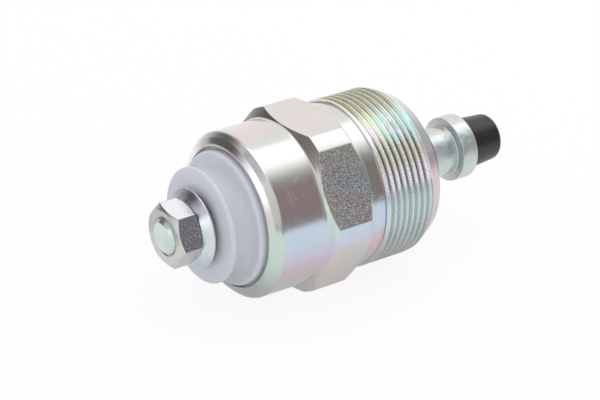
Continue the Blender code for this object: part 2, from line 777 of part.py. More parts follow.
def make_terminal_nut(parent):
    """Hexagon nut with both faces chamfered, resting on the washer's hollow face at its corners."""
    material = zinc_plate("terminal_nut")
    corner_radius = NUT_FLATS / 2 / math.cos(math.pi / 6)
    washer_slope = WASHER_DISH / (WASHER_RADIUS - STUD_HOLE)
    chamfer = (corner_radius - NUT_FLATS / 2) * math.tan(NUT_CHAMFER_ANGLE)
    seat = WASHER_START + WASHER_THICKNESS + washer_slope * (corner_radius - STUD_HOLE)
    start = seat + SEAT_GAP - chamfer
    end = start + NUT_HEIGHT
    blank_radius = corner_radius + CUTTER_REACH
    blank_chamfer = (blank_radius - NUT_FLATS / 2) * math.tan(NUT_CHAMFER_ANGLE)
    section = [
        (start, STUD_HOLE),
        (start, NUT_FLATS / 2),
        (start + blank_chamfer, blank_radius),
        (end - blank_chamfer, blank_radius),
        (end, NUT_FLATS / 2),
        (end, STUD_HOLE),
    ]
    nut = turned("terminal_nut", section, parent, material)
    hexagon = prism(
        "nut_hexagon",
        6,
        NUT_FLATS,
        start - CUTTER_REACH,
        end + CUTTER_REACH,
        parent,
        material,
        NUT_TURN,
    )
    boolean(nut, hexagon, "INTERSECT")


def main():
    clear_scene()
    axis = bpy.data.objects.new("solenoid_axis", None)
    axis.location = ((STUD_END + TIP_END) / 2, 0.0, HEX_ACROSS_FLATS / 2)
    axis.rotation_euler = (0.0, math.radians(-90), 0.0)
    bpy.context.scene.collection.objects.link(axis)
    slide = bpy.data.objects.new("plunger_slide", None)
    slide.parent = axis
    bpy.context.scene.collection.objects.link(slide)

    make_housing(axis)
    make_seals(axis)
    make_guide_sleeve(axis)
    make_plunger(slide)
    make_plunger_tip(slide)
    make_return_spring(axis)
    make_pole_piece(axis)
    make_coil(axis)
    make_circuit(axis)
    make_leads(axis)
    make_terminal_cap(axis)
    make_terminal_stud(axis)
    make_terminal_washer(axis)
    make_terminal_nut(axis)


main()
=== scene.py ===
"""Looks of a screw-in fuel shutoff solenoid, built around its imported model.

Metres, +Z up. Stations are measured along the axis from the sealing face of the nose and grow
towards the terminal. A turn is an angle round the axis from the top, and grows towards +Y.
Each turned piece is a grid of rows, one for each corner of its half section, and columns round it.
"""

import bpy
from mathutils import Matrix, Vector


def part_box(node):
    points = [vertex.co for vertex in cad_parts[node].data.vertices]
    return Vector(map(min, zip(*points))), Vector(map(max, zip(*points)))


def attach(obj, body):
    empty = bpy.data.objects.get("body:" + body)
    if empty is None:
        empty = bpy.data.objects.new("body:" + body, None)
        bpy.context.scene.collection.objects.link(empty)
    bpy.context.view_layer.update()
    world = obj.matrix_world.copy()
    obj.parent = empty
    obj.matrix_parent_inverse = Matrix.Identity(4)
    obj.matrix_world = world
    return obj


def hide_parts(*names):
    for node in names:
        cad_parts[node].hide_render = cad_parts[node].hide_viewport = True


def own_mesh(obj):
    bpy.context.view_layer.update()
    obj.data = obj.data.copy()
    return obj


bl_info = {
    "name": "Fuel shutoff solenoid",
    "version": (1, 0, 0),
    "blender": (4, 5, 0),
    "location": "View3D > Sidebar > Solenoid",
    "description": "Visible pieces and finishes of a screw-in fuel shutoff solenoid",
    "category": "Add Mesh",
}

import math

import bmesh
import bpy
from bpy.props import FloatProperty, FloatVectorProperty, PointerProperty
from mathutils import Matrix, Vector

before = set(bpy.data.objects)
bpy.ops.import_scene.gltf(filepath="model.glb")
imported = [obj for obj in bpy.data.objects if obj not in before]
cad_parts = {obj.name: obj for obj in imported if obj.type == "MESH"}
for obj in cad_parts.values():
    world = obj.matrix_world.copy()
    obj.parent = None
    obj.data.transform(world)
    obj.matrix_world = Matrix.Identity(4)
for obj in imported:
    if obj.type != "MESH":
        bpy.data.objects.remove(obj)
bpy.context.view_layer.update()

BODY = "solenoid_body"
ARMATURE = "armature"
SIXTH = math.radians(60)
SHARP = math.radians(32)
MICRON = 1e-6
WELD = MICRON

# The film's turns are counted from this many degrees behind the top.
FILM_TOP = 15

# Features to a metre: patches of film, specks, and fine and wide turning marks.
PATCHES = 190.0
SPECKS = 5200.0
FINE_LINES = 7000.0
WIDE_LINES = 1500.0

HOUSING_LOW, HOUSING_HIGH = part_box("housing")
AXIS_Z = (HOUSING_LOW.z + HOUSING_HIGH.z) / 2
HEX_FLAT = (HOUSING_HIGH.z - HOUSING_LOW.z) / 2
SPIGOT_LENGTH = 0.0018
NOSE_X = HOUSING_HIGH.x - SPIGOT_LENGTH

# Places in the list of the housing's finishes.
NOSE, THREAD, RING, HEXAGON, FLATS, SHOULDER, CUP, LIP = range(8)

# Radius and height of the nut's round foot, which stands in the washer's raised middle.
NUT_FOOT, NUT_STEP = 0.0034, 0.0009


def length(name, description, metres):
    return FloatProperty(
        name=name, description=description, default=metres, precision=5, unit="LENGTH", subtype="DISTANCE"
    )


def angle(name, description, degrees):
    return FloatProperty(
        name=name, description=description, default=math.radians(degrees), unit="ROTATION", subtype="ANGLE"
    )


def colour(name, description, rgb):
    return FloatVectorProperty(
        name=name, description=description, default=rgb, size=3, min=0.0, max=1.0, subtype="COLOR"
    )


def share(name, description, value, most=1.0):
    return FloatProperty(
        name=name, description=description, default=value, min=0.0, max=most, subtype="FACTOR"
    )


class SolenoidSizes(bpy.types.PropertyGroup):
    """Sizes of the visible pieces."""

    spigot_radius: length("Spigot radius", "Radius of the spigot that carries the nose seal", 0.0068)
    nose_radius: length("Nose radius", "Outside radius of the nose face", 0.01046)
    nose_length: length("Nose length", "Length of the cone behind the nose face", 0.00285)
    thread_radius: length("Thread radius", "Radius over the thread's crests", 0.0120)
    thread_pitch: length("Thread pitch", "Distance between the crests", 0.001)
    thread_depth: length("Thread depth", "Depth from crest to root", 0.00061)
    thread_crest: length("Thread crest", "Width of the flat crest", 0.0002)
    thread_root: length("Thread root", "Width of the flat root", 0.00012)
    thread_rounding: length("Thread rounding", "Rounding beside each crest and root", 0.00005)
    thread_end: length("Thread end", "Station where the thread ends", 0.0104)
    ring_radius: length("Ring radius", "Radius of the smooth ring behind the thread", 0.0117)
    hexagon_start: length("Hexagon start", "Station of the hexagon's front", 0.0126)
    hexagon_end: length("Hexagon end", "Station of the hexagon's back", 0.0203)
    hexagon_bar: length("Hexagon bar", "Radius over the hexagon's rounded corners", 0.01313)
    hexagon_chamfer: angle("Hexagon chamfer", "Angle of the corner chamfers", 40.0)
    hexagon_cove: length("Hexagon cove", "Fillet between hexagon and cup", 0.0005)
    cup_radius: length("Cup radius", "Outside radius of the cup", 0.0117)
    cup_end: length("Cup end", "Station where the cup bends into the lip", 0.0273)
    lip_top: length("Lip top", "Station of the rolled lip", 0.0286)
    lip_radius: length("Lip radius", "Inside radius of the rolled lip", 0.0098)
    lip_thickness: length("Lip thickness", "Thickness of the lip's edge", 0.0006)
    edge: length("Edge", "Rounding where flats meet round surfaces", 0.0001)
    plunger_radius: length("Plunger radius", "Radius of armature and collar", 0.00465)
    neck_radius: length("Neck radius", "Radius of the plunger's neck", 0.0035)
    cap_neck: length("Cap neck", "Radius of the cap's neck", 0.0068)
    cap_flange: length("Cap flange", "Radius of the cap's flange", 0.0081)
    stud_radius: length("Stud radius", "Radius over the stud's thread", 0.0025)
    stud_pitch: length("Stud pitch", "Pitch of the stud's thread", 0.0008)
    nut_flats: length("Nut flats", "Distance across the nut's flats", 0.008)
    nut_turn: angle("Nut turn", "How far the nut is turned from flat side up", 5.6)


class SolenoidColours(bpy.types.PropertyGroup):
    """Colours of the finishes."""

    zinc: colour("Zinc", "Bright zinc plate", (0.71, 0.71, 0.69))
    rose: colour("Rose film", "Pale rose of the film on top", (0.78, 0.69, 0.675))
    cream: colour("Cream film", "Cream of the film in the thread", (0.72, 0.70, 0.62))
    lemon: colour("Lemon film", "Yellow-green of the film under the light", (0.86, 0.93, 0.64))
    aqua: colour("Aqua film", "Blue-green of the film under the light", (0.64, 0.90, 0.88))
    violet: colour("Violet film", "Violet of the film under the light", (0.76, 0.79, 0.97))
    # Painted highlight: a pale lilac laid where the light falls, on the nut's top flat, the washer, the lip
    # and the thread.
    painted_highlight_pearl: colour("Pearl film", "Pale lilac of the nut's upper side", (0.90, 0.88, 0.93))
    grey: colour("Grey film", "Dull grey of the film underneath", (0.50, 0.52, 0.515))
    # Painted shade: dark brown laid over the upper part of the hexagon's shoulder.
    painted_shade_umber: colour("Umber film", "Dark brown of the film behind the hexagon", (0.29, 0.26, 0.24))
    pink: colour("Pink film", "Pink of the film", (0.69, 0.57, 0.64))
    mauve: colour("Mauve film", "Brownish mauve of the film", (0.64, 0.50, 0.51))
    brown: colour("Brown film", "Warm brown of the film", (0.53, 0.47, 0.42))
    blue: colour("Blue film", "Pale blue of the film", (0.57, 0.66, 0.77))
    lilac: colour("Lilac film", "Lilac of the film", (0.64, 0.62, 0.75))
    green: colour("Green film", "Yellow-green of the film", (0.64, 0.71, 0.58))
    mint: colour("Mint film", "Cool green of the film", (0.60, 0.71, 0.66))
    olive: colour("Olive film", "Olive of the film", (0.70, 0.68, 0.52))
    stone: colour("Stone film", "Warm grey of the film low down", (0.66, 0.63, 0.61))
    cool_zinc: colour("Cool zinc", "Bluish zinc of plunger and terminal", (0.69, 0.745, 0.755))
    # Painted shade: a darker bluish zinc laid on the nut's two flats beside the top one and over the upper
    # part of the washer's face.
    nut_zinc: colour("Nut zinc", "Darker bluish zinc of the nut's sides", (0.40, 0.40, 0.46))
    plastic: colour("Cap plastic", "Bluish light grey plastic", (0.605, 0.625, 0.68))
    rubber: colour("Rubber", "Black rubber", (0.0045, 0.0045, 0.0047))
    iron: colour("Soft iron", "Bare turned iron", (0.45, 0.45, 0.46))
    spring: colour("Spring steel", "Oiled spring steel", (0.30, 0.31, 0.34))
    brass: colour("Brass", "Drawn brass", (0.78, 0.58, 0.27))
    copper: colour("Copper wire", "Enamelled copper", (0.62, 0.24, 0.10))
    bobbin: colour("Bobbin plastic", "Black moulded plastic", (0.03, 0.03, 0.03))
    tape: colour("Winding tape", "Yellow polyester tape", (0.75, 0.62, 0.20))
    board: colour("Insulating board", "Brown pressed board", (0.50, 0.30, 0.14))
    live: colour("Live sleeving", "Red sleeving", (0.55, 0.05, 0.04))
    earth: colour("Earth sleeving", "Black sleeving", (0.03, 0.03, 0.03))


class SolenoidStudio(bpy.types.PropertyGroup):
    """Camera and light."""

    azimuth: angle("Camera azimuth", "Where the camera stands round the part", -36.906)
    elevation: angle("Camera elevation", "How high the camera stands", 28.525)
    roll: angle("Camera roll", "Tilt of the picture", 2.368)
    distance: length("Camera distance", "From the camera to what it looks at", 0.342)
    aim_station: length("Aim station", "Station on the axis that the camera looks at", 0.015)
    lens: FloatProperty(name="Lens", description="Focal length", default=148.86, unit="CAMERA")
    shift_x: FloatProperty(name="Shift across", description="Shift of the picture", default=-0.01283)
    shift_y: FloatProperty(name="Shift up", description="Shift of the picture", default=-0.0134)
    fill: share("Fill light", "Strength of the light from all round", 0.95, 2.0)
    softbox: FloatProperty(name="Softbox", description="Power of the softbox", default=1.1, unit="POWER")
    strip: share("Strip", "Brightness of the strip that the metal reflects from above", 1.6, 3.0)
    dark: share("Dark side", "Brightness of the tent's dark side", 0.36)
    sheet: length("Sheet", "Radius of the white sheet that the part lies on", 0.122)
    tent: length("Tent", "Radius of the light tent", 0.75)


def sizes():
    return bpy.context.scene.solenoid_sizes


def colours():
    return bpy.context.scene.solenoid_colours


# Shapes


def station_of(x):
    return NOSE_X - x


def at(station, radius, turn):
    """A place given round the axis."""
    return Vector((NOSE_X - station, radius * math.sin(turn), AXIS_Z + radius * math.cos(turn)))


def clamp(value, low, high):
    return max(low, min(high, value))


def smooth_min(a, b, rounding):
    """The smaller of two radii, with the corner between them rounded."""
    return min(a, b) - max(rounding - abs(a - b), 0.0) ** 2 / (4 * rounding)


def rounded(corners, chord=0.00012, fewest=3, most=10):
    """The corners as points, each corner that gives a fillet radius turned into an arc."""
    points = []
    for index, corner in enumerate(corners):
        here = Vector(corner[:2])
        fillet = corner[2] if len(corner) > 2 else 0.0
        if not fillet:
            points.append(here)
            continue
        to_last = (Vector(corners[index - 1][:2]) - here).normalized()
        to_next = (Vector(corners[(index + 1) % len(corners)][:2]) - here).normalized()
        half = to_last.angle(to_next) / 2
        centre = here + (to_last + to_next).normalized() * (fillet / math.sin(half))
        start = (here + to_last * (fillet / math.tan(half)) - centre).normalized()
        end = (here + to_next * (fillet / math.tan(half)) - centre).normalized()
        steps = clamp(round(fillet / chord), fewest, most)
        for step in range(steps + 1):
            points.append(centre + start.slerp(end, step / steps) * fillet)
    return points


def refined(points, step):
    """The same outline with points no further apart than a step."""
    result = [points[0]]
    for here, after in zip(points, points[1:]):
        parts = max(1, math.ceil((after - here).length / step))
        result += [here.lerp(after, part / parts) for part in range(1, parts + 1)]
    return result


def columns_round(arc_steps=16, turned_by=0.0, flat_steps=0):
    """Columns round the axis in six sectors, each with a flat and the arc after it.

    A column is the normal of its flat, whether it is on the flat, and its share of the flat's half
    width or of the arc. The columns lie closer together beside the flats' edges. With no flat to
    show, the columns of a flat fall together and are welded.
    """
    flat_shares = [0.0]
    if flat_steps:
        even = [0.9 * (2 * step / flat_steps - 1) for step in range(1, flat_steps)]
        flat_shares = [-1.0, -0.985, -0.95] + even + [0.95, 0.985, 1.0]
    even = [0.1 + 0.8 * step / arc_steps for step in range(arc_steps + 1)]
    arc_shares = [0.03, 0.07] + even + [0.93, 0.97]
    columns = []
    for sector in range(6):
        normal = turned_by + sector * SIXTH
        columns += [(normal, True, value) for value in flat_shares]
        columns += [(normal, False, value) for value in arc_shares]
    return columns


def turn_of(column, half):
    """The turn of a column where the flat takes up a half angle on either side of its normal."""
    normal, on_flat, part = column
    if on_flat:
        return normal + part * half
    return normal + half + part * (SIXTH - 2 * half)


def plain_row(station, radius):
    """A round row."""
    return lambda column: (station, radius, turn_of(column, 0.0))


def hexagon_row(station, bar_radius, flat, edge):
    """A row on round bar that a hexagon's flats cut where they lie inside it."""
    half = math.acos(flat / bar_radius) if bar_radius > flat else 0.0

    def point(column):
        turn = turn_of(column, half)
        off_normal = turn - column[0]
        if off_normal > SIXTH / 2:
            off_normal -= SIXTH
        return station, smooth_min(bar_radius, flat / math.cos(off_normal), edge), turn

    return point


def thread_profile(pitch, depth, crest, root, rounding):
    """Offsets from a groove's middle, as shares of the pitch, each with its depth."""
    rise = (pitch - crest - root) / 2
    soft = rounding / rise / 4
    foot, top = root / 2, root / 2 + rise
    half = [
        (0.0, 0.0),
        (foot - rounding, 0.0),
        (foot, soft),
        (foot + rounding, rounding / rise),
        (foot + rise / 3, 1 / 3),
        (foot + 2 * rise / 3, 2 / 3),
        (top - rounding, 1 - rounding / rise),
        (top, 1 - soft),
        (top + rounding, 1.0),
    ]
    half = [(distance / pitch, depth * (1 - height)) for distance, height in half]
    return [(-offset, deep) for offset, deep in reversed(half[1:])] + half


def thread_rows(profile, pitch, radius, start, first_station, last_station, runout, limit):
    """Rows that follow a right-hand thread, one set for each turn of its groove.

    The groove fades over the runout, in turns, and the limit is the largest radius at a station.
    """
    grooves = math.ceil((last_station - start) / pitch) + 1
    lead_in = math.floor((first_station - start) / pitch - 0.5) - 1
    last_turn = (last_station - start) / pitch - 0.5

    def row(groove, offset, deep):
        def point(column):
            turn = turn_of(column, 0.0)
            turns = groove + turn / math.tau
            station = clamp(start + (turns + offset) * pitch, first_station, last_station)
            cut = radius - deep * clamp((last_turn - turns) / runout, 0.0, 1.0)
            return station, min(cut, limit(station)), turn

        return point

    return [row(groove, offset, deep) for groove in range(lead_in, grooves + 1) for offset, deep in profile]


def placed(name, data):
    """A new object in the scene."""
    obj = bpy.data.objects.new(name, data)
    bpy.context.scene.collection.objects.link(obj)
    return obj


def shaped(name, bm, sharp=SHARP):
    """An object of a mesh, smooth except at its sharp edges."""
    mesh = bpy.data.meshes.new(name)
    bm.to_mesh(mesh)
    bm.free()
    mesh.shade_smooth()
    mesh.set_sharp_from_angle(angle=sharp)
    return placed(name, mesh)


def grid(name, rows, columns, per_turn=0, closed=True):
    """A mesh of rows and columns.

    A row is the numbers of its finish on round surfaces and on flats, whether it follows a thread,
    and its function of the column. A thread's rows join the row of the next turn at the seam.
    """
    bm = bmesh.new()
    spots = [[bm.verts.new(at(*row(column))) for column in columns] for _, _, row in rows]
    last_threaded = max((index for index, (_, threaded, _) in enumerate(rows) if threaded), default=0)

    def over_the_seam(index):
        return min(index + per_turn, last_threaded) if rows[index][1] else index

    count, last = len(rows), len(columns) - 1
    for here in range(count if closed else count - 1):
        after = (here + 1) % count
        on_round, on_flat = rows[after][0]
        for column in range(len(columns)):
            other = 0 if column == last else column + 1
            far_here = over_the_seam(here) if column == last else here
            far_after = over_the_seam(after) if column == last else after
            near = spots[here][column], spots[after][column]
            far = spots[far_after][other], spots[far_here][other]
            corners = list(dict.fromkeys(near + far))
            if len(corners) < 3:
                continue
            face = bm.faces.new(corners)
            face.material_index = on_flat if columns[column][1] and columns[other][1] else on_round
    bmesh.ops.remove_doubles(bm, verts=bm.verts, dist=WELD)
    bmesh.ops.dissolve_degenerate(bm, edges=bm.edges, dist=WELD / 10)
    bmesh.ops.recalc_face_normals(bm, faces=bm.faces)
    return shaped(name, bm)


def plain_rows(corners, finish=0, step=None):
    """Round rows of one finish along a half section, no further apart than a step."""
    points = rounded(corners)
    if step:
        points = refined(points, step)
    return [((finish, finish), False, plain_row(station, radius)) for station, radius in points]


def finished(obj, materials, body, node):
    """Gives a piece its materials and ties it to the frame."""
    for material in materials:
        obj.data.materials.append(material)
    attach(obj, body)
    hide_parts(node)


# Materials


class Finish:
    """A Principled material that is put together from procedural nodes."""

    def __init__(self, name, base, roughness, metallic=0.0):
        self.material = bpy.data.materials.new(name)
        self.material.use_nodes = True
        self.tree = self.material.node_tree
        self.shader = self.tree.nodes["Principled BSDF"]
        self.shader.inputs["Base Color"].default_value = (*base, 1.0)
        self.shader.inputs["Roughness"].default_value = roughness
        self.shader.inputs["Metallic"].default_value = metallic
        self.material.diffuse_color = (*base, 1.0)
        self.place = self.node("ShaderNodeTexCoord").outputs["Object"]

    def node(self, kind, **settings):
        made = self.tree.nodes.new(kind)
        for setting, value in settings.items():
            setattr(made, setting, value)
        return made

    def join(self, value, socket):
        if isinstance(value, bpy.types.NodeSocket):
            self.tree.links.new(value, socket)
        elif isinstance(value, tuple) and len(socket.default_value) == 4:
            socket.default_value = (*value[:3], 1.0)
        else:
            socket.default_value = value

    def math(self, operation, *values):
        made = self.node("ShaderNodeMath", operation=operation)
        for value, socket in zip(values, made.inputs):
            self.join(value, socket)
        return made.outputs[0]

    def plus(self, a, b):
        return self.math("ADD", a, b)

    def times(self, a, b):
        return self.math("MULTIPLY", a, b)

    def swing(self, value, amount, middle=0.0):
        """A value between nought and one as a swing of an amount about a middle."""
        return self.math("MULTIPLY_ADD", value, amount, middle - amount / 2)

    def vector(self, x, y, z):
        made = self.node("ShaderNodeCombineXYZ")
        for value, socket in zip((x, y, z), made.inputs):
            self.join(value, socket)
        return made.outputs[0]

    def noise(self, scale, detail=3.0, roughness=0.55, vector=None, distortion=0.0):
        made = self.node("ShaderNodeTexNoise")
        self.join(self.place if vector is None else vector, made.inputs["Vector"])
        for socket, value in (
            ("Scale", scale), ("Detail", detail), ("Roughness", roughness), ("Distortion", distortion)
        ):
            self.join(value, made.inputs[socket])
        return made.outputs["Fac"]

    def ramp(self, factor, stops, interpolation="LINEAR"):
        made = self.node("ShaderNodeValToRGB")
        made.color_ramp.interpolation = interpolation
        elements = made.color_ramp.elements
        while len(elements) < len(stops):
            elements.new(1.0)
        for element, (position, value) in zip(elements, stops):
            element.position = position
            element.color = (*value, 1.0) if isinstance(value, tuple) else (value, value, value, 1.0)
        self.join(factor, made.inputs[0])
        return made.outputs["Color"]

    def mix(self, factor, a, b, blend="MIX"):
        made = self.node("ShaderNodeMix", data_type="RGBA", blend_type=blend)
        factor_in = made.inputs[0]
        a_in, b_in = (socket for socket in made.inputs if socket.type == "RGBA")
        for value, socket in ((factor, factor_in), (a, a_in), (b, b_in)):
            self.join(value, socket)
        return next(socket for socket in made.outputs if socket.type == "RGBA")

    def toned(self, tint, tone):
        """A tint made lighter or darker by a tone."""
        return self.mix(1.0, tint, self.vector(tone, tone, tone), "MULTIPLY")

    def bump(self, height, distance, below=None):
        made = self.node("ShaderNodeBump")
        made.inputs["Strength"].default_value = 1.0
        made.inputs["Distance"].default_value = distance
        self.join(height, made.inputs["Height"])
        if below is not None:
            self.join(below, made.inputs["Normal"])
        return made.outputs["Normal"]

    def set(self, socket, value):
        self.join(value, self.shader.inputs[socket])

    def from_the_axis(self):
        """Place along the axis, and distances from it towards the back and upwards."""
        split = self.node("ShaderNodeSeparateXYZ")
        self.join(self.place, split.inputs[0])
        along, back, height = split.outputs
        return along, back, self.math("SUBTRACT", height, AXIS_Z)

    def round_the_axis(self):
        """Place along the axis, distance from it, and the turn from the film's top, of half a turn."""
        along, back, up = self.from_the_axis()
        radius = self.math("SQRT", self.plus(self.math("POWER", back, 2.0), self.math("POWER", up, 2.0)))
        radius = self.math("MAXIMUM", radius, MICRON)
        lean = math.radians(FILM_TOP)
        rise = self.plus(self.times(back, math.sin(lean)), self.times(up, math.cos(lean)))
        turn = self.math("ARCCOSINE", self.math("DIVIDE", rise, radius))
        return along, radius, self.math("DIVIDE", turn, math.pi)

    def turn_either_way(self, middle=0.0):
        """The turn from a flat's middle, the same on the front side as on the back, of half a turn."""
        _, back, up = self.from_the_axis()
        turn = self.math("ARCTAN2", self.times(back, -1.0), up)
        return self.math("DIVIDE", self.math("ABSOLUTE", self.math("SUBTRACT", turn, middle)), math.pi)

    def turning_lines(self, along, radius, turn, per_metre, wander=3.0):
        """Fine rings left by the lathe, on faces and round surfaces alike."""
        vector = self.vector(
            self.times(along, per_metre), self.times(radius, per_metre), self.times(turn, wander)
        )
        return self.noise(1.0, 2.0, 0.6, vector)


def by_turn(*stops, lean=FILM_TOP):
    """Stops of a share, from behind the top of the part by the lean, down to its bottom."""
    return [((degrees + lean) / 180, value) for degrees, value in stops]


def tint(name):
    return tuple(getattr(colours(), name))


def film(*stops, lean=FILM_TOP):
    """Stops of a film's tint, each a turn in degrees from the top and the name of a colour."""
    return by_turn(*((degrees, tint(name)) for degrees, name in stops), lean=lean)


def spread(names, start, step):
    """Stops of the named tints at even steps."""
    return [(start + step * index, tint(name)) for index, name in enumerate(names)]


def shade(base, factor):
    return tuple(min(1.0, value * factor) for value in base)


def scratches(finish, patches, middle):
    """Short broken scratches round a place, with the patches of film to fray their edge."""
    away = finish.node("ShaderNodeVectorMath", operation="DISTANCE")
    finish.join(finish.place, away.inputs[0])
    away.inputs[1].default_value = middle
    fading = 190.0
    frayed = finish.math("MULTIPLY_ADD", patches, 0.9, finish.times(away.outputs["Value"], fading))
    near = finish.ramp(frayed, [(0.6, 1.0), (0.98, 0.0)])
    contour = finish.math("ABSOLUTE", finish.swing(finish.noise(640.0, 2.0, 0.6, distortion=1.2), 2.0))
    lines = finish.ramp(contour, [(0.0, 1.0), (0.10, 0.0)])
    broken = finish.ramp(finish.noise(900.0, 1.0, 0.5), [(0.42, 0.0), (0.58, 1.0)])
    return finish.times(finish.times(lines, near), broken)


def zinc_plate(name, tints, roughness=0.22, lines=0.6, speckle=0.08, clouds=0.0, scuff=None):
    """Zinc plate on turned steel. Its thin film shifts in tint round the axis, with soft patches.

    Lines are turning marks, clouds are dull milky waves, and a scuff is a scratched place.
    """
    finish = Finish(name, tints[0][1], roughness, 1.0)
    along, radius, turn = finish.round_the_axis()
    patches = finish.noise(PATCHES, 3.0, 0.5)
    base = finish.ramp(finish.plus(turn, finish.swing(patches, 0.1)), tints, "EASE")
    fine = finish.turning_lines(along, radius, turn, FINE_LINES)
    wide = finish.turning_lines(along, radius, turn, WIDE_LINES, 2.0)
    speck = finish.noise(SPECKS, 2.0, 0.6)
    tone = finish.plus(finish.swing(wide, 0.16 * lines), finish.swing(speck, speckle, 0.98))
    varied = finish.plus(finish.swing(patches, 0.10, roughness), finish.swing(wide, 0.08 * lines))
    if clouds:
        milky = finish.ramp(finish.noise(520.0, 4.0, 0.6, distortion=0.6), [(0.35, 0.0), (0.68, 1.0)])
        tone = finish.plus(tone, finish.swing(milky, 0.10 * clouds))
        varied = finish.math("MULTIPLY_ADD", milky, 0.22 * clouds, varied)
    if scuff:
        scratch = scratches(finish, patches, scuff)
        tone = finish.math("MULTIPLY_ADD", scratch, 0.32, tone)
        varied = finish.math("MULTIPLY_ADD", scratch, 0.25, varied)
    finish.set("Base Color", finish.toned(base, tone))
    finish.set("Roughness", varied)
    normal = finish.bump(fine, 2.0 * MICRON * lines)
    normal = finish.bump(wide, 2.5 * MICRON * lines, normal)
    if clouds:
        normal = finish.bump(finish.noise(380.0, 2.0, 0.5), 130 * MICRON * clouds, normal)
    finish.set("Normal", finish.bump(speck, 25 * MICRON * speckle, normal))
    return finish.material


def thread_plate(name, size, roughness=0.27):
    """Zinc plate in the thread: painted shade and violet film low in the grooves, and a rainbow painted in
    as a highlight under the light.

    The depth of a groove counts from the crest beside it, as a share of the full depth.
    """
    finish = Finish(name, tint("cream"), roughness, 1.0)
    along, radius, turn = finish.round_the_axis()
    wandering = finish.plus(turn, finish.swing(finish.noise(PATCHES, 3.0, 0.5), 0.08))
    # The pale pearl stops are painted highlight where the light falls; the film turns darker grey towards
    # the bottom.
    base = finish.ramp(wandering, film(
        (-15, "olive"), (9, "olive"), (24, "painted_highlight_pearl"), (36, "painted_highlight_pearl"), (44, "cream"), (53, "cream"),
        (62, "painted_highlight_pearl"), (70, "painted_highlight_pearl"), (78, "mint"), (96, "mint"), (118, "grey"),
    ))
    station = finish.math("SUBTRACT", NOSE_X, along)
    widening = (size.thread_radius - size.nose_radius) / size.nose_length
    cone = finish.math("MULTIPLY_ADD", station, widening, size.nose_radius)
    crest = finish.math("MINIMUM", cone, size.thread_radius)
    depth = finish.math("DIVIDE", finish.math("SUBTRACT", crest, radius), size.thread_depth)
    low = finish.ramp(depth, [(0.35, 0.0), (0.75, 1.0)])
    low = finish.times(low, finish.ramp(turn, by_turn((36, 0.0), (68, 0.1), (77, 0.75), (110, 0.5))))
    base = finish.mix(low, base, tint("violet"))
    ragged = finish.swing(finish.noise(520.0, 1.0, 0.5), 0.7)
    # Painted highlight: a rainbow of bright film hues, laid only over the turns where the light strip falls.
    hues = spread(("mint", "aqua", "mint", "painted_highlight_pearl", "aqua", "lemon", "painted_highlight_pearl"), 0.07, 0.15)
    rainbow = finish.ramp(finish.plus(finish.times(station, 1 / size.thread_end), ragged), hues)
    painted_rainbow_highlight = finish.ramp(wandering, by_turn((4, 0.1), (22, 0.85), (36, 0.85), (47, 0.0)))
    base = finish.mix(painted_rainbow_highlight, base, rainbow)
    grit = finish.noise(3000.0, 2.0, 0.75)
    # Painted shade: the grooves are darker the deeper they lie. The turn sets how strongly: weak under the
    # light strip and low down, strong elsewhere. The grit and the duller metal follow the same share.
    grooves = finish.ramp(depth, [(0.42, 1.0), (0.7, 0.5), (1.0, 0.12)])
    groove_shade_and_grit = finish.ramp(turn, by_turn(
        (-15, 0.8), (9, 0.75), (20, 0.3), (33, 0.3), (42, 0.95), (70, 0.95), (75, 0.2)
    ))
    groove_shade = finish.plus(finish.times(grooves, groove_shade_and_grit), finish.math("SUBTRACT", 1.0, groove_shade_and_grit))
    gritty = finish.math("MULTIPLY_ADD", finish.swing(grit, 0.8), groove_shade_and_grit, 1.0)
    finish.set("Base Color", finish.toned(base, finish.times(groove_shade, gritty)))
    finish.set("Metallic", finish.math("MULTIPLY_ADD", groove_shade_and_grit, -0.55, 1.0))
    finish.set("Roughness", finish.swing(grit, 0.2, roughness))
    normal = finish.bump(finish.turning_lines(along, radius, turn, FINE_LINES), 2.0 * MICRON)
    finish.set("Normal", finish.bump(finish.times(grit, groove_shade_and_grit), 9 * MICRON, normal))
    return finish.material


def drawn_flats(name, tints, middle=0.0, grainy=1.0, hued=0.45, roughness=0.2):
    """Flats of drawn bar with patches of film, the first flat's middle at a turn from the top.

    The grain of the two flats beside the top one shows, with bright specks painted in as glints.
    """
    finish = Finish(name, tints[0][1], roughness, 1.0)
    turn = finish.turn_either_way(middle)
    grains = finish.noise(4200.0, 2.0, 0.8)
    painted_glint_noise = finish.noise(6000.0, 1.0, 0.6)
    cloud = finish.noise(320.0, 3.0, 0.6)
    hues = spread(("mint", "green", "zinc", "rose", "pink", "blue"), 0.32, 0.07)
    hues = finish.ramp(finish.noise(110.0, 2.0, 0.5, distortion=0.7), hues)
    base = finish.mix(hued, finish.ramp(turn, tints), hues)
    first, last, blur = math.degrees(SIXTH / 2), math.degrees(3 * SIXTH / 2), 0.4
    grain_share = finish.ramp(turn, by_turn(
        (first - blur, 0.0), (first + blur, grainy), (last - blur, grainy), (last + blur, 0.0), lean=0
    ))
    darker = finish.times(finish.ramp(grains, [(0.36, 0.55), (0.50, 0.2), (0.62, 0.0)]), grain_share)
    base = finish.toned(base, finish.math("SUBTRACT", finish.swing(cloud, 0.08, 1.0), darker))
    # Painted glints: bright stone-coloured, less metallic specks on the two flats beside the top one.
    bright = finish.times(finish.ramp(painted_glint_noise, [(0.55, 0.0), (0.70, 0.8)]), grain_share)
    finish.set("Base Color", finish.mix(bright, base, tint("stone")))
    finish.set("Metallic", finish.math("MULTIPLY_ADD", bright, -0.85, 1.0))
    varied = finish.plus(finish.swing(grains, 0.12, roughness), finish.swing(cloud, 0.06))
    finish.set("Roughness", varied)
    finish.set("Normal", finish.bump(grains, 20 * MICRON))
    return finish.material


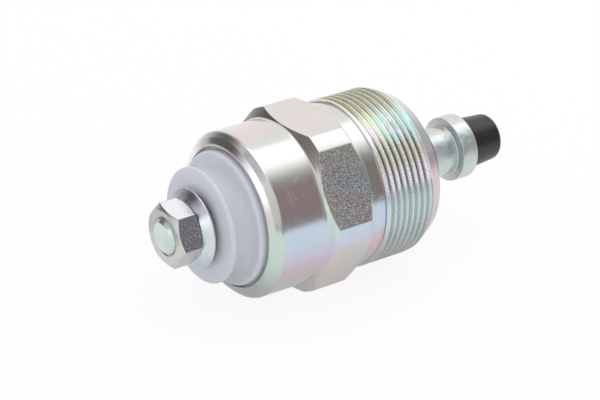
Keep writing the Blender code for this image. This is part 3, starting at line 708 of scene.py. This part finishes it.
def moulded_plastic(name, base, roughness=0.40):
    """Moulded plastic, faintly cloudy, with a fine skin."""
    finish = Finish(name, base, roughness)
    cloud = finish.noise(260.0, 3.0, 0.5)
    finish.set("Base Color", finish.mix(cloud, shade(base, 0.95), shade(base, 1.04)))
    finish.set("Roughness", finish.swing(cloud, 0.10, roughness))
    normal = finish.bump(finish.noise(9000.0, 2.0, 0.5), 1.6 * MICRON)
    finish.set("Normal", finish.bump(cloud, 12 * MICRON, normal))
    return finish.material


def black_rubber(name, base, roughness=0.36):
    """Moulded rubber with a dull bloom and small nicks."""
    finish = Finish(name, base, roughness)
    finish.shader.inputs["Specular IOR Level"].default_value = 0.6
    cloud = finish.noise(420.0, 4.0, 0.6)
    pits = finish.ramp(finish.noise(1100.0, 2.0, 0.5, distortion=0.8), [(0.24, 1.0), (0.33, 0.0)])
    bloom = tuple(value * 1.5 + 0.001 for value in base)
    finish.set("Base Color", finish.mix(finish.ramp(cloud, [(0.45, 0.0), (0.8, 0.8)]), tuple(base), bloom))
    finish.set("Roughness", finish.swing(cloud, 0.22, roughness))
    normal = finish.bump(finish.noise(SPECKS, 3.0, 0.6), 4 * MICRON)
    finish.set("Normal", finish.bump(pits, -45 * MICRON, normal))
    return finish.material


def bare_metal(name, base, roughness=0.3, lines=1.0):
    """Turned or drawn metal with no plate, its surface slightly stained."""
    finish = Finish(name, base, roughness, 1.0)
    lathe = finish.turning_lines(*finish.round_the_axis(), 6000.0)
    stain = finish.noise(350.0, 4.0, 0.6)
    finish.set("Base Color", finish.mix(stain, shade(base, 0.78), tuple(base)))
    finish.set("Roughness", finish.swing(stain, 0.14, roughness))
    finish.set("Normal", finish.bump(lathe, 3.0 * MICRON * lines))
    return finish.material


def fibrous(name, base, roughness=0.7, per_metre=2500.0):
    """Tape, pressed board and woven sleeving."""
    finish = Finish(name, base, roughness)
    weave = finish.turning_lines(*finish.round_the_axis(), per_metre, 40.0)
    finish.set("Base Color", finish.mix(finish.noise(500.0, 3.0, 0.6), shade(base, 0.8), tuple(base)))
    finish.set("Roughness", finish.swing(weave, 0.15, roughness))
    finish.set("Normal", finish.bump(weave, 20 * MICRON))
    return finish.material


# Housing


def nose_cone(size, station):
    """Radius of the cone between the nose face and the thread's crests."""
    return size.nose_radius + (size.thread_radius - size.nose_radius) * station / size.nose_length


def nose_rows(size):
    """The spigot, the seal's shallow recess, the nose face and the rounded start of the cone."""
    recess_depth, recess_radius = 0.0001, 0.00895
    corners = [
        (-SPIGOT_LENGTH, size.spigot_radius),
        (recess_depth, size.spigot_radius),
        (recess_depth, recess_radius),
        (0.0, recess_radius),
        (0.0, size.nose_radius, 0.0002),
        (size.nose_length, size.thread_radius),
    ]
    points = rounded(corners)[:-1]
    return [((NOSE, NOSE), False, plain_row(*point)) for point in points], points[-1].x


def outer_rows(size):
    """The housing's outside from the spigot to the rolled lip, and how many rows a thread turn has."""
    rows, cone_start = nose_rows(size)
    profile = thread_profile(
        size.thread_pitch, size.thread_depth, size.thread_crest, size.thread_root, size.thread_rounding
    )
    first_groove, runout = -size.thread_pitch / 2, 0.25
    helix = thread_rows(
        profile,
        size.thread_pitch,
        size.thread_radius,
        first_groove,
        cone_start,
        size.thread_end,
        runout,
        lambda station: nose_cone(size, station),
    )
    rows += [((THREAD, THREAD), True, row) for row in helix]

    slope = math.tan(size.hexagon_chamfer)
    soft = 0.00015
    thread_back = size.thread_end + (size.thread_radius - size.ring_radius) / 3
    front_chamfer = size.hexagon_start + (size.hexagon_bar - size.ring_radius) * slope
    back_chamfer = size.hexagon_end - (size.hexagon_bar - size.cup_radius) * slope
    bend_length, bend_drop, crown = 0.0008, 0.00072, 0.0004
    corners = [
        (size.thread_end, size.thread_radius),
        (thread_back, size.ring_radius, 0.00008),
        (size.hexagon_start, size.ring_radius, soft),
        (front_chamfer, size.hexagon_bar, soft),
        (back_chamfer, size.hexagon_bar, soft),
        (size.hexagon_end, size.cup_radius, size.hexagon_cove),
        (size.cup_end, size.cup_radius, 0.00045),
        (size.cup_end + bend_length, size.cup_radius - bend_drop, 0.0009),
        (size.lip_top, size.lip_radius + crown, 0.0003),
        (size.lip_top, size.lip_radius, soft),
        (size.lip_top - size.lip_thickness, size.lip_radius),
    ]
    for station, radius in refined(rounded(corners), 0.00022)[1:]:
        if station < size.hexagon_start - soft:
            rows.append(((RING, RING), False, plain_row(station, radius)))
        elif station < size.hexagon_end + size.hexagon_cove:
            # The shoulder takes its own finish, which carries painted shade.
            on_shoulder = station > back_chamfer + soft and radius > size.cup_radius + size.hexagon_cove / 3
            finish = SHOULDER if on_shoulder else HEXAGON
            rows.append(((finish, FLATS), False, hexagon_row(station, radius, HEX_FLAT, size.edge)))
        elif station < size.cup_end - soft:
            rows.append(((CUP, CUP), False, plain_row(station, radius)))
        else:
            rows.append(((LIP, LIP), False, plain_row(station, radius)))
    return rows, len(profile)


def inner_rows(size):
    """The housing's inside from under the lip back to the bore of the nose."""
    counterbore, chamber, bore, groove = 0.0106, 0.0099, 0.00575, 0.00675
    lip_under = size.lip_top - size.lip_thickness
    step, wall, groove_start, groove_end = lip_under - 0.0045, 0.0032, 0.0018, 0.0003
    corners = [
        (lip_under, counterbore),
        (step, counterbore),
        (step, chamber),
        (wall, chamber),
        (wall, bore),
        (groove_start, bore),
        (groove_start, groove),
        (groove_end, groove),
        (groove_end, bore),
        (-SPIGOT_LENGTH, bore),
    ]
    return plain_rows(corners, NOSE)


def finish_cone(obj, size):
    """Gives the plain faces of the cone, between the thread's first grooves, the nose's finish."""
    for face in obj.data.polygons:
        station = station_of(face.center.x)
        radius = math.hypot(face.center.y, face.center.z - AXIS_Z)
        if face.material_index == THREAD and radius > nose_cone(size, station) - 4 * MICRON:
            face.material_index = NOSE


def housing_finishes(size):
    return [
        zinc_plate(
            "nose_zinc",
            film((-15, "zinc"), (52, "zinc"), (60, "mauve"), (68, "pink"), (100, "pink"), (118, "lilac"),
                 (150, "zinc")),
            roughness=0.27,
        ),
        thread_plate("thread_zinc", size),
        zinc_plate(
            "ring_zinc",
            film((-15, "rose"), (-6, "rose"), (3, "zinc"), (40, "zinc"), (50, "brown"), (70, "brown"),
                 (78, "blue"), (92, "blue"), (101, "pink"), (114, "pink"), (130, "stone"), (165, "rose")),
            roughness=0.2,
            scuff=at(0.0117, size.ring_radius, math.radians(-68)),
        ),
        zinc_plate(
            "hexagon_zinc",
            film((-15, "zinc"), (40, "zinc"), (70, "mint"), (86, "blue"), (98, "lilac"), (112, "pink"),
                 (150, "stone")),
            roughness=0.2,
        ),
        drawn_flats(
            "hexagon_flats",
            film((0, "rose"), (22, "rose"), (34, "zinc"), (80, "zinc"), (120, "stone"), lean=0),
        ),
        # Painted shade: the shoulder's film is dark umber over its upper part.
        zinc_plate(
            "shoulder_zinc",
            film((-15, "brown"), (0, "painted_shade_umber"), (40, "painted_shade_umber"), (54, "stone"), (66, "lemon"), (80, "mint"),
                 (96, "lilac"), (112, "pink"), (150, "stone")),
            roughness=0.24,
            lines=1.5,
            speckle=0.15,
        ),
        zinc_plate(
            "cup_zinc",
            film((-15, "rose"), (0, "rose"), (14, "zinc"), (42, "zinc"), (53, "mauve"), (70, "mauve"),
                 (77, "blue"), (90, "blue"), (100, "lilac"), (110, "pink"), (128, "stone"), (165, "rose")),
            roughness=0.2,
            lines=0.5,
            speckle=0.05,
            scuff=at(0.0243, size.cup_radius, math.radians(-54)),
        ),
        # Painted light: the lip's film is pale pearl as a painted highlight where the light strip falls, and
        # grey low down as painted shade under the part. It is darker brown at the top.
        zinc_plate(
            "lip_zinc",
            film((-15, "grey"), (2, "brown"), (13, "zinc"), (25, "painted_highlight_pearl"), (40, "painted_highlight_pearl"), (50, "zinc"),
                 (62, "stone"), (80, "mint"), (104, "mint"), (135, "grey")),
            roughness=0.2,
            speckle=0.06,
        ),
    ]


def make_housing():
    size = sizes()
    rows, per_turn = outer_rows(size)
    obj = grid("housing_turned", rows + inner_rows(size), columns_round(18, flat_steps=10), per_turn)
    finish_cone(obj, size)
    finished(obj, housing_finishes(size), BODY, "housing")


def make_nose_seal():
    low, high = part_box("nose_o_ring")
    section = (high.x - low.x) / 2
    mean = high.y - section
    seat = 0.00025
    station = station_of((low.x + high.x) / 2) + seat
    steps = 24
    turns = [math.tau * step / steps for step in range(steps)]
    corners = [(station + section * math.cos(turn), mean + section * math.sin(turn)) for turn in turns]
    obj = grid("nose_seal", plain_rows(corners), columns_round(20))
    material = black_rubber("seal_rubber", colours().rubber, roughness=0.4)
    finished(obj, [material], BODY, "nose_o_ring")


# Plunger


def make_plunger():
    size = sizes()
    armature_back, armature_front = 0.0170, -0.0044
    collar_back, collar_front = -0.0089, -0.0116
    bore, bore_end, drill_point = 0.0027, 0.0083, 0.0013
    stub, stub_end, barb, barb_length = 0.0016, -0.0148, 0.0022, 0.0016
    corners = [
        (bore_end - drill_point, 0.0),
        (bore_end, bore),
        (armature_back, bore, 0.0001),
        (armature_back, size.plunger_radius, 0.0003),
        (armature_front, size.plunger_radius, 0.0003),
        (armature_front, size.neck_radius, 0.0003),
        (collar_back, size.neck_radius, 0.00025),
        (collar_back, size.plunger_radius, 0.00018),
        (collar_front, size.plunger_radius, 0.00025),
        (collar_front, stub),
        (stub_end + barb_length, stub),
        (stub_end + barb_length, barb),
        (stub_end, stub),
        (stub_end, 0.0),
    ]
    obj = grid("plunger_turned", plain_rows(corners, step=0.0006), columns_round(14), closed=False)
    material = zinc_plate(
        "plunger_zinc",
        film((-15, "zinc"), (12, "zinc"), (24, "cool_zinc"), (70, "cool_zinc"), (88, "mint"),
             (116, "cool_zinc")),
        roughness=0.25,
        lines=0.5,
        speckle=0.06,
        clouds=1.5,
    )
    finished(obj, [material], ARMATURE, "plunger")


def make_tip():
    low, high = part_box("plunger_tip")
    seat = 0.00025
    base, end = station_of(low.x) + seat, station_of(high.x)
    room_radius, room_start, room_end, hole, end_radius = 0.0025, -0.0129, -0.0151, 0.0019, 0.0033
    corners = [
        (room_end, 0.0),
        (room_end, room_radius),
        (room_start, room_radius),
        (room_start, hole),
        (base, hole),
        (base, high.y, 0.00015),
        (end, end_radius, 0.0008),
        (end, 0.0),
    ]
    obj = grid("rubber_tip", plain_rows(corners, step=0.0004), columns_round(14), closed=False)
    finished(obj, [black_rubber("tip_rubber", colours().rubber)], ARMATURE, "plunger_tip")


# Terminal


def make_cap():
    size = sizes()
    low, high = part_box("terminal_cap")
    skirt, front = station_of(high.x), station_of(low.x)
    skirt_inside, skirt_outside, skirt_step = 0.00795, 0.00915, 0.0013
    base, shoulder, cavity_radius, stud_room = 0.0103, 0.0094, 0.0058, 0.0038
    gap = 0.0001
    under_lip = size.lip_top - size.lip_thickness - gap
    shoulder_station = size.lip_top + 0.0008
    flange_back = front - 0.0008
    stud_hole = size.stud_radius + 0.0003
    cavity, cavity_slope = skirt + 0.0034, 0.00108
    seal_seat = front - 0.0011
    corners = [
        (skirt, skirt_inside),
        (skirt, skirt_outside),
        (skirt + skirt_step, skirt_outside),
        (skirt + skirt_step, base),
        (under_lip, base),
        (under_lip, shoulder),
        (shoulder_station, shoulder, 0.0004),
        (shoulder_station, size.cap_neck, 0.0016),
        (flange_back, size.cap_neck, 0.0003),
        (flange_back, size.cap_flange, 0.0003),
        (front, size.cap_flange, 0.0003),
        (front, stud_hole),
        (seal_seat, stud_hole),
        (seal_seat, stud_room),
        (cavity, stud_room),
        (cavity, cavity_radius),
        (cavity - cavity_slope, skirt_inside),
    ]
    obj = grid("moulded_cap", plain_rows(corners, step=0.0005), columns_round(18))
    finished(obj, [moulded_plastic("cap_plastic", colours().plastic)], BODY, "terminal_cap")


def make_washer():
    size = sizes()
    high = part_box("terminal_washer")[1]
    seat, thick, rim_edge, under = 0.00022, 0.0007, 0.00017, 0.0047
    start = station_of(high.x) - seat
    rim, bore, hollow = high.y, size.stud_radius + 0.0003, NUT_FOOT + 0.0001
    rim_start = start + seat + thick
    crest = station_of(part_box("terminal_nut")[1].x) + NUT_STEP
    corners = [
        (start, bore),
        (start + seat, under),
        (rim_start, rim, 0.00004),
        (rim_start + rim_edge, rim, 0.00006),
        (crest, size.nut_flats / 2 + 0.00012, 0.0001),
        (crest, hollow),
        (start + thick, hollow),
        (start + thick, bore),
    ]
    # The rim band takes the second finish, a pale rim painted as a highlight.
    rows, rim_highlight_band = [], 0.0001
    for station, radius in refined(rounded(corners), 0.0002):
        finish = 1 if radius > rim - rim_highlight_band else 0
        rows.append(((finish, finish), False, plain_row(station, radius)))
    obj = grid("conical_washer", rows, columns_round(16))
    # Painted light: the face is pale at the top as a painted highlight, and darker bluish zinc over its
    # upper part as painted shade.
    tints = film(
        (-15, "painted_highlight_pearl"), (0, "nut_zinc"), (40, "nut_zinc"), (54, "cool_zinc"), (105, "cool_zinc"),
        (150, "blue"),
    )
    face = zinc_plate("washer_zinc", tints, roughness=0.17, lines=2.0, clouds=0.8)
    # The rim is pale pearl from the top round to the front, as a painted highlight.
    tints = film((-15, "painted_highlight_pearl"), (60, "painted_highlight_pearl"), (100, "cool_zinc"))
    edge = zinc_plate("washer_rim", tints, roughness=0.3)
    finished(obj, [face, edge], BODY, "terminal_washer")


def make_nut():
    """A hexagon nut, chamfered at both ends, its foot inside the washer's raised middle."""
    size = sizes()
    low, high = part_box("terminal_nut")
    start, end = station_of(high.x), station_of(low.x)
    flat = size.nut_flats / 2
    over = flat / math.cos(SIXTH / 2) + 10 * MICRON
    slope = math.tan(SIXTH / 2)
    face, under = flat - 0.00030, flat - 0.00005
    seat = start + NUT_STEP
    outline = [
        Vector((seat, under)),
        Vector((seat + (over - under) * slope, over)),
        Vector((end - (over - face) * slope, over)),
        Vector((end, face)),
    ]
    rows = plain_rows([(start, NUT_FOOT), (seat, NUT_FOOT)])
    for station, radius in refined(outline, 0.00012):
        rows.append(((0, 1), False, hexagon_row(station, radius, flat, size.edge)))
    sink, sink_depth, bore = size.stud_radius + 0.00032, 0.0004, size.stud_radius
    rows += plain_rows(
        [(end, sink, 0.00005), (end - sink_depth, bore), (start + sink_depth, bore), (start, sink)]
    )
    obj = grid("hexagon_nut", rows, columns_round(8, -size.nut_turn, flat_steps=10))
    tints = film((-15, "grey"), (60, "grey"), (90, "stone"), (165, "stone"))
    body = zinc_plate("nut_zinc", tints, lines=0.5, speckle=0.3, clouds=0.6)
    # Painted light: the top flat is pale pearl as a painted highlight, and the two flats beside it are
    # darker bluish zinc as painted shade.
    tints = film((29, "painted_highlight_pearl"), (31, "nut_zinc"), (89, "nut_zinc"), (91, "stone"), lean=0)
    sides = drawn_flats("nut_sides", tints, size.nut_turn, grainy=0.7, hued=0.06)
    finished(obj, [body, sides], BODY, "terminal_nut")


def make_stud():
    size = sizes()
    low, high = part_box("terminal_stud")
    end = station_of(low.x)
    head_start, head_length, head_flat, head_bar = station_of(high.x), 0.0015, 0.004, 0.0046
    head_end = head_start + head_length
    depth, chamfer = 0.00045, 0.00022
    thread_end = end - chamfer
    root = size.stud_radius - depth
    crest, groove, rounding = 0.00012, 0.0001, 0.00004
    # The thread is faint: from the stud's end inwards it deepens by a fiftieth with each turn.
    runout = 50.0
    profile = thread_profile(size.stud_pitch, depth, crest, groove, rounding)
    helix = thread_rows(
        profile,
        size.stud_pitch,
        size.stud_radius,
        head_end + size.stud_pitch,
        head_end + size.stud_pitch / 2,
        thread_end,
        runout,
        lambda station: min(size.stud_radius, root + (thread_end - station) * 1.1),
    )
    head = [(head_start, 0.0), (head_start, head_bar), (head_end, head_bar)]
    rows = [((0, 0), False, hexagon_row(station, radius, head_flat, size.edge)) for station, radius in head]
    rows += plain_rows([(head_end, size.stud_radius)])
    rows += [((0, 0), True, row) for row in helix]
    crown = [(thread_end, root), (end - 0.00006, root * 0.72, 0.0006), (end, 0.0)]
    rows += plain_rows(crown, step=0.0002)
    obj = grid("threaded_stud", rows, columns_round(10, flat_steps=6), len(profile), closed=False)
    tints = film((0, "cool_zinc"), (90, "mint"), (180, "cool_zinc"))
    material = zinc_plate("stud_zinc", tints, roughness=0.24, lines=0.4, speckle=0.12)
    finished(obj, [material], BODY, "terminal_stud")


# Mechanism


def make_spring():
    """The return spring as a round wire, closed at both ends."""
    low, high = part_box("return_spring")
    wire = 0.00035
    mean = high.y - wire
    start, end = station_of(high.x) + wire, station_of(low.x) - wire
    turns, closed_turns, closed_pitch = 8, 1, 0.00085
    open_pitch = (end - start - 2 * closed_turns * closed_pitch) / (turns - 2 * closed_turns)
    per_turn, sides = 36, 12
    station = start
    rings = []
    bm = bmesh.new()
    for step in range(turns * per_turn + 1):
        ring = []
        for side in range(sides):
            around = math.tau * side / sides
            along, out = wire * math.sin(around), wire * math.cos(around)
            ring.append(bm.verts.new(at(station + along, mean + out, math.tau * step / per_turn)))
        rings.append(ring)
        middle = (step + 0.5) / per_turn
        near_an_end = min(middle, turns - middle) < closed_turns
        station += (closed_pitch if near_an_end else open_pitch) / per_turn
    for ring, after in zip(rings, rings[1:]):
        for side in range(sides):
            other = (side + 1) % sides
            bm.faces.new((ring[side], ring[other], after[other], after[side]))
    bm.faces.new(rings[0])
    bm.faces.new(rings[-1])
    bmesh.ops.recalc_face_normals(bm, faces=bm.faces)
    obj = shaped("coil_spring", bm, math.radians(50))
    material = bare_metal("spring_wire", colours().spring, roughness=0.28, lines=0.3)
    finished(obj, [material], BODY, "return_spring")
    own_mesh(obj)


def make_mechanism():
    """Finishes of the pieces inside, which keep their CAD form."""
    tones = colours()
    finishes = {
        "guide_sleeve": (bare_metal, tones.brass, 0.26),
        "stop_shim": (bare_metal, tones.brass, 0.3),
        "pole_piece": (bare_metal, tones.iron, 0.34),
        "flux_plate": (bare_metal, tones.iron, 0.38),
        "coil_spring_washer": (bare_metal, tones.spring, 0.3),
        "coil_winding": (bare_metal, tones.copper, 0.3, 4.0),
        "coil_bobbin": (moulded_plastic, tones.bobbin, 0.42),
        "winding_tape": (fibrous, tones.tape, 0.5, 1600.0),
        "insulating_disc": (fibrous, tones.board),
        "live_lead": (fibrous, tones.live),
        "earth_lead": (fibrous, tones.earth),
        "sleeve_o_ring": (black_rubber, tones.rubber),
        "pole_o_ring": (black_rubber, tones.rubber),
        "cap_seal_ring": (black_rubber, tones.rubber),
        "stud_o_ring": (black_rubber, tones.rubber),
    }
    for node, (make, *settings) in finishes.items():
        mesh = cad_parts[node].data
        material = make(node + "_finish", *settings)
        if not mesh.materials:
            mesh.materials.append(material)
        for index in range(len(mesh.materials)):
            mesh.materials[index] = material


# Studio


def towards(bearing, elevation):
    """A direction from its bearing, counted from +X towards +Y, and its elevation, in degrees."""
    level = math.cos(math.radians(elevation))
    return Vector((
        level * math.cos(math.radians(bearing)),
        level * math.sin(math.radians(bearing)),
        math.sin(math.radians(elevation)),
    ))


def ease(low, high, value):
    """Nought at the low value, one at the high value, and a smooth rise between them."""
    part = clamp((value - low) / (high - low), 0.0, 1.0)
    return part * part * (3 - 2 * part)


def tent_brightness(room, direction, on_the_floor=False):
    """How bright the tent is in a direction: white behind, a strip of light above and dark in front.

    A patch is a brightness, the direction of its middle, and the angles from the middle within
    which it is whole and past which it is gone.
    """
    over = math.degrees(math.atan2(direction.z, direction.y)) % 360
    value = 1.0
    if direction.x > -0.97:
        value += (room.strip - 1.0) * ease(65, 69, over) * ease(-0.52, -0.28, direction.x)
        value += (room.dark - value) * ease(91, 124, over) * ease(-0.88, -0.70, direction.x)
    patches = [(0.5, towards(3, 5), 9, 33)]
    if not on_the_floor:
        patches += [
            (1.25, towards(-95, 36), 8, 16),
            (0.17, towards(122, 14), 15, 38),
            (1.5, towards(180, 14), 10, 20),
            (0.5, towards(163, 45), 12, 20),
            (0.5, towards(181, 45), 12, 20),
            (0.8, towards(-127, 30), 24, 38),
        ]
    for brightness, middle, whole, gone in patches:
        value += (brightness - value) * (1 - ease(whole, gone, math.degrees(direction.angle(middle))))
    return value


def bare_tree(owner):
    """The node tree of a material or world, emptied."""
    owner.use_nodes = True
    owner.node_tree.nodes.clear()
    return owner.node_tree


def make_tent(room):
    """A light tent that only reflections see: a dome down to the floor, open over the white sheet."""
    bearings, elevations = range(0, 360, 4), range(0, 91, 3)
    lift = 0.0008
    mesh = bpy.data.meshes.new("light_tent")
    places, glows = [], []
    for bearing in bearings:
        on_floor = towards(bearing, 0)
        places += [on_floor * room.sheet, on_floor * room.tent]
        glows += [tent_brightness(room, on_floor, True)] * 2
        for elevation in elevations:
            direction = towards(bearing, elevation)
            places.append(direction * room.tent)
            glows.append(tent_brightness(room, direction))
    per_bearing = len(elevations) + 2
    total = len(places)
    faces = []
    for start in range(0, total, per_bearing):
        after = (start + per_bearing) % total
        for step in range(per_bearing - 1):
            here, beside = start + step, after + step
            faces.append((here, here + 1, beside + 1, beside))
    mesh.from_pydata([place + Vector((0.0, 0.0, lift)) for place in places], [], faces)
    layer = mesh.attributes.new("glow", "FLOAT_COLOR", "POINT")
    for point, glow in zip(layer.data, glows):
        point.color = (glow, glow, glow, 1.0)
    obj = placed("light_tent", mesh)

    material = bpy.data.materials.new("light_tent")
    tree = bare_tree(material)
    glow = tree.nodes.new("ShaderNodeAttribute")
    glow.attribute_name = "glow"
    emission = tree.nodes.new("ShaderNodeEmission")
    out = tree.nodes.new("ShaderNodeOutputMaterial")
    tree.links.new(glow.outputs["Color"], emission.inputs["Color"])
    tree.links.new(emission.outputs[0], out.inputs["Surface"])
    mesh.materials.append(material)
    for ray in ("camera", "diffuse", "shadow", "transmission", "volume_scatter"):
        setattr(obj, "visible_" + ray, False)


def white_to_the_camera(tree, shader_behind, out_socket, camera_share, other_share):
    """Mixes a share of plain white over a shader for camera rays, another for mirror and glass rays."""
    light_path = tree.nodes.new("ShaderNodeLightPath")
    white = tree.nodes.new("ShaderNodeEmission")
    mixing = tree.nodes.new("ShaderNodeMixShader")
    most = None
    for ray, portion in (
        ("Is Camera Ray", camera_share), ("Is Glossy Ray", other_share), ("Is Transmission Ray", other_share)
    ):
        part = tree.nodes.new("ShaderNodeMath")
        part.operation = "MULTIPLY"
        part.inputs[1].default_value = portion
        tree.links.new(light_path.outputs[ray], part.inputs[0])
        if most is None:
            most = part.outputs[0]
            continue
        larger = tree.nodes.new("ShaderNodeMath")
        larger.operation = "MAXIMUM"
        tree.links.new(most, larger.inputs[0])
        tree.links.new(part.outputs[0], larger.inputs[1])
        most = larger.outputs[0]
    tree.links.new(most, mixing.inputs[0])
    tree.links.new(shader_behind, mixing.inputs[1])
    tree.links.new(white.outputs[0], mixing.inputs[2])
    tree.links.new(mixing.outputs[0], out_socket)


def make_floor():
    mesh = bpy.data.meshes.new("floor")
    half, white = 3.0, 0.9
    corners = [(-half, -half, 0), (half, -half, 0), (half, half, 0), (-half, half, 0)]
    mesh.from_pydata(corners, [], [(0, 1, 2, 3)])
    obj = placed("floor", mesh)
    material = bpy.data.materials.new("floor")
    tree = bare_tree(material)
    diffuse = tree.nodes.new("ShaderNodeBsdfDiffuse")
    diffuse.inputs["Color"].default_value = (white, white, white, 1.0)
    out = tree.nodes.new("ShaderNodeOutputMaterial")
    white_to_the_camera(tree, diffuse.outputs[0], out.inputs["Surface"], 0.9, 0.35)
    mesh.materials.append(material)


def make_world(fill):
    world = bpy.data.worlds.new("soft_room")
    bpy.context.scene.world = world
    tree = bare_tree(world)
    background = tree.nodes.new("ShaderNodeBackground")
    background.inputs["Color"].default_value = (1.0, 1.0, 1.0, 1.0)
    background.inputs["Strength"].default_value = fill
    out = tree.nodes.new("ShaderNodeOutputWorld")
    white_to_the_camera(tree, background.outputs[0], out.inputs["Surface"], 1.0, 1.0)


def make_softbox(power):
    """The softbox above the part. The tent's strip stands for it in reflections."""
    light = bpy.data.lights.new("softbox", "AREA")
    light.shape = "RECTANGLE"
    light.size, light.size_y = 0.9, 0.5
    light.energy = power
    obj = placed("softbox", light)
    direction, distance = towards(12, 57), 0.72
    obj.location = direction * distance
    obj.rotation_euler = direction.to_track_quat("Z", "Y").to_euler()
    obj.visible_glossy = False


def make_camera(room):
    data = bpy.data.cameras.new("camera")
    data.lens = room.lens
    data.sensor_width = 36.0
    data.shift_x = room.shift_x
    data.shift_y = room.shift_y
    data.clip_start = 0.01
    data.clip_end = 20.0
    level = Vector((math.sin(room.azimuth), -math.cos(room.azimuth), 0.0))
    back = level * math.cos(room.elevation) + Vector((0.0, 0.0, math.sin(room.elevation)))
    across = Vector((math.cos(room.azimuth), math.sin(room.azimuth), 0.0))
    rise = back.cross(across)
    right = across * math.cos(room.roll) + rise * math.sin(room.roll)
    up = rise * math.cos(room.roll) - across * math.sin(room.roll)
    place = at(room.aim_station, 0.0, 0.0) + back * room.distance
    camera = placed("camera", data)
    camera.matrix_world = Matrix.Translation(place) @ Matrix((right, up, back)).transposed().to_4x4()
    bpy.context.scene.camera = camera


def make_stage():
    room = bpy.context.scene.solenoid_studio
    make_world(room.fill)
    make_floor()
    make_tent(room)
    make_softbox(room.softbox)
    make_camera(room)
    bpy.context.scene.view_settings.view_transform = "Standard"


# Operators and panel


class SOLENOID_OT_housing(bpy.types.Operator):
    """Makes the threaded housing with its hexagon, cup and rolled lip."""

    bl_idname = "solenoid.housing"
    bl_label = "Housing"

    def execute(self, context):
        make_housing()
        return {"FINISHED"}


class SOLENOID_OT_nose_seal(bpy.types.Operator):
    """Makes the seal ring on the nose."""

    bl_idname = "solenoid.nose_seal"
    bl_label = "Nose seal"

    def execute(self, context):
        make_nose_seal()
        return {"FINISHED"}


class SOLENOID_OT_plunger(bpy.types.Operator):
    """Makes the turned plunger with its neck and collar."""

    bl_idname = "solenoid.plunger"
    bl_label = "Plunger"

    def execute(self, context):
        make_plunger()
        return {"FINISHED"}


class SOLENOID_OT_tip(bpy.types.Operator):
    """Makes the plunger's rubber valve tip."""

    bl_idname = "solenoid.tip"
    bl_label = "Rubber tip"

    def execute(self, context):
        make_tip()
        return {"FINISHED"}


class SOLENOID_OT_cap(bpy.types.Operator):
    """Makes the moulded terminal cap."""

    bl_idname = "solenoid.cap"
    bl_label = "Terminal cap"

    def execute(self, context):
        make_cap()
        return {"FINISHED"}


class SOLENOID_OT_washer(bpy.types.Operator):
    """Makes the conical spring washer."""

    bl_idname = "solenoid.washer"
    bl_label = "Washer"

    def execute(self, context):
        make_washer()
        return {"FINISHED"}


class SOLENOID_OT_nut(bpy.types.Operator):
    """Makes the terminal nut."""

    bl_idname = "solenoid.nut"
    bl_label = "Nut"

    def execute(self, context):
        make_nut()
        return {"FINISHED"}


class SOLENOID_OT_stud(bpy.types.Operator):
    """Makes the threaded terminal stud."""

    bl_idname = "solenoid.stud"
    bl_label = "Stud"

    def execute(self, context):
        make_stud()
        return {"FINISHED"}


class SOLENOID_OT_spring(bpy.types.Operator):
    """Makes the return spring behind the plunger."""

    bl_idname = "solenoid.spring"
    bl_label = "Return spring"

    def execute(self, context):
        make_spring()
        return {"FINISHED"}


class SOLENOID_OT_mechanism(bpy.types.Operator):
    """Finishes the coil, sleeve, pole piece, leads and seals inside."""

    bl_idname = "solenoid.mechanism"
    bl_label = "Mechanism"

    def execute(self, context):
        make_mechanism()
        return {"FINISHED"}


class SOLENOID_OT_stage(bpy.types.Operator):
    """Makes the floor, the light and the camera."""

    bl_idname = "solenoid.stage"
    bl_label = "Studio"

    def execute(self, context):
        make_stage()
        return {"FINISHED"}


OPERATORS = (
    SOLENOID_OT_housing,
    SOLENOID_OT_nose_seal,
    SOLENOID_OT_plunger,
    SOLENOID_OT_tip,
    SOLENOID_OT_cap,
    SOLENOID_OT_washer,
    SOLENOID_OT_nut,
    SOLENOID_OT_stud,
    SOLENOID_OT_spring,
    SOLENOID_OT_mechanism,
    SOLENOID_OT_stage,
)


class SOLENOID_PT_panel(bpy.types.Panel):
    """Lists the pieces and their sizes and colours."""

    bl_label = "Fuel shutoff solenoid"
    bl_idname = "SOLENOID_PT_panel"
    bl_space_type = "VIEW_3D"
    bl_region_type = "UI"
    bl_category = "Solenoid"

    def draw(self, context):
        column = self.layout.column(align=True)
        for operator in OPERATORS:
            column.operator(operator.bl_idname)
        for name in GROUPS:
            group = getattr(context.scene, name)
            box = self.layout.box()
            for setting in group.__annotations__:
                box.prop(group, setting)


GROUPS = {
    "solenoid_sizes": SolenoidSizes,
    "solenoid_colours": SolenoidColours,
    "solenoid_studio": SolenoidStudio,
}


def register():
    for name, group in GROUPS.items():
        bpy.utils.register_class(group)
        setattr(bpy.types.Scene, name, PointerProperty(type=group))
    for operator in OPERATORS:
        bpy.utils.register_class(operator)
    bpy.utils.register_class(SOLENOID_PT_panel)


def unregister():
    bpy.utils.unregister_class(SOLENOID_PT_panel)
    for operator in reversed(OPERATORS):
        bpy.utils.unregister_class(operator)
    for name, group in reversed(GROUPS.items()):
        delattr(bpy.types.Scene, name)
        bpy.utils.unregister_class(group)


def main():
    register()
    for operator in OPERATORS:
        getattr(bpy.ops.solenoid, operator.bl_idname.split(".")[1])()


if __name__ == "__main__":
    main()
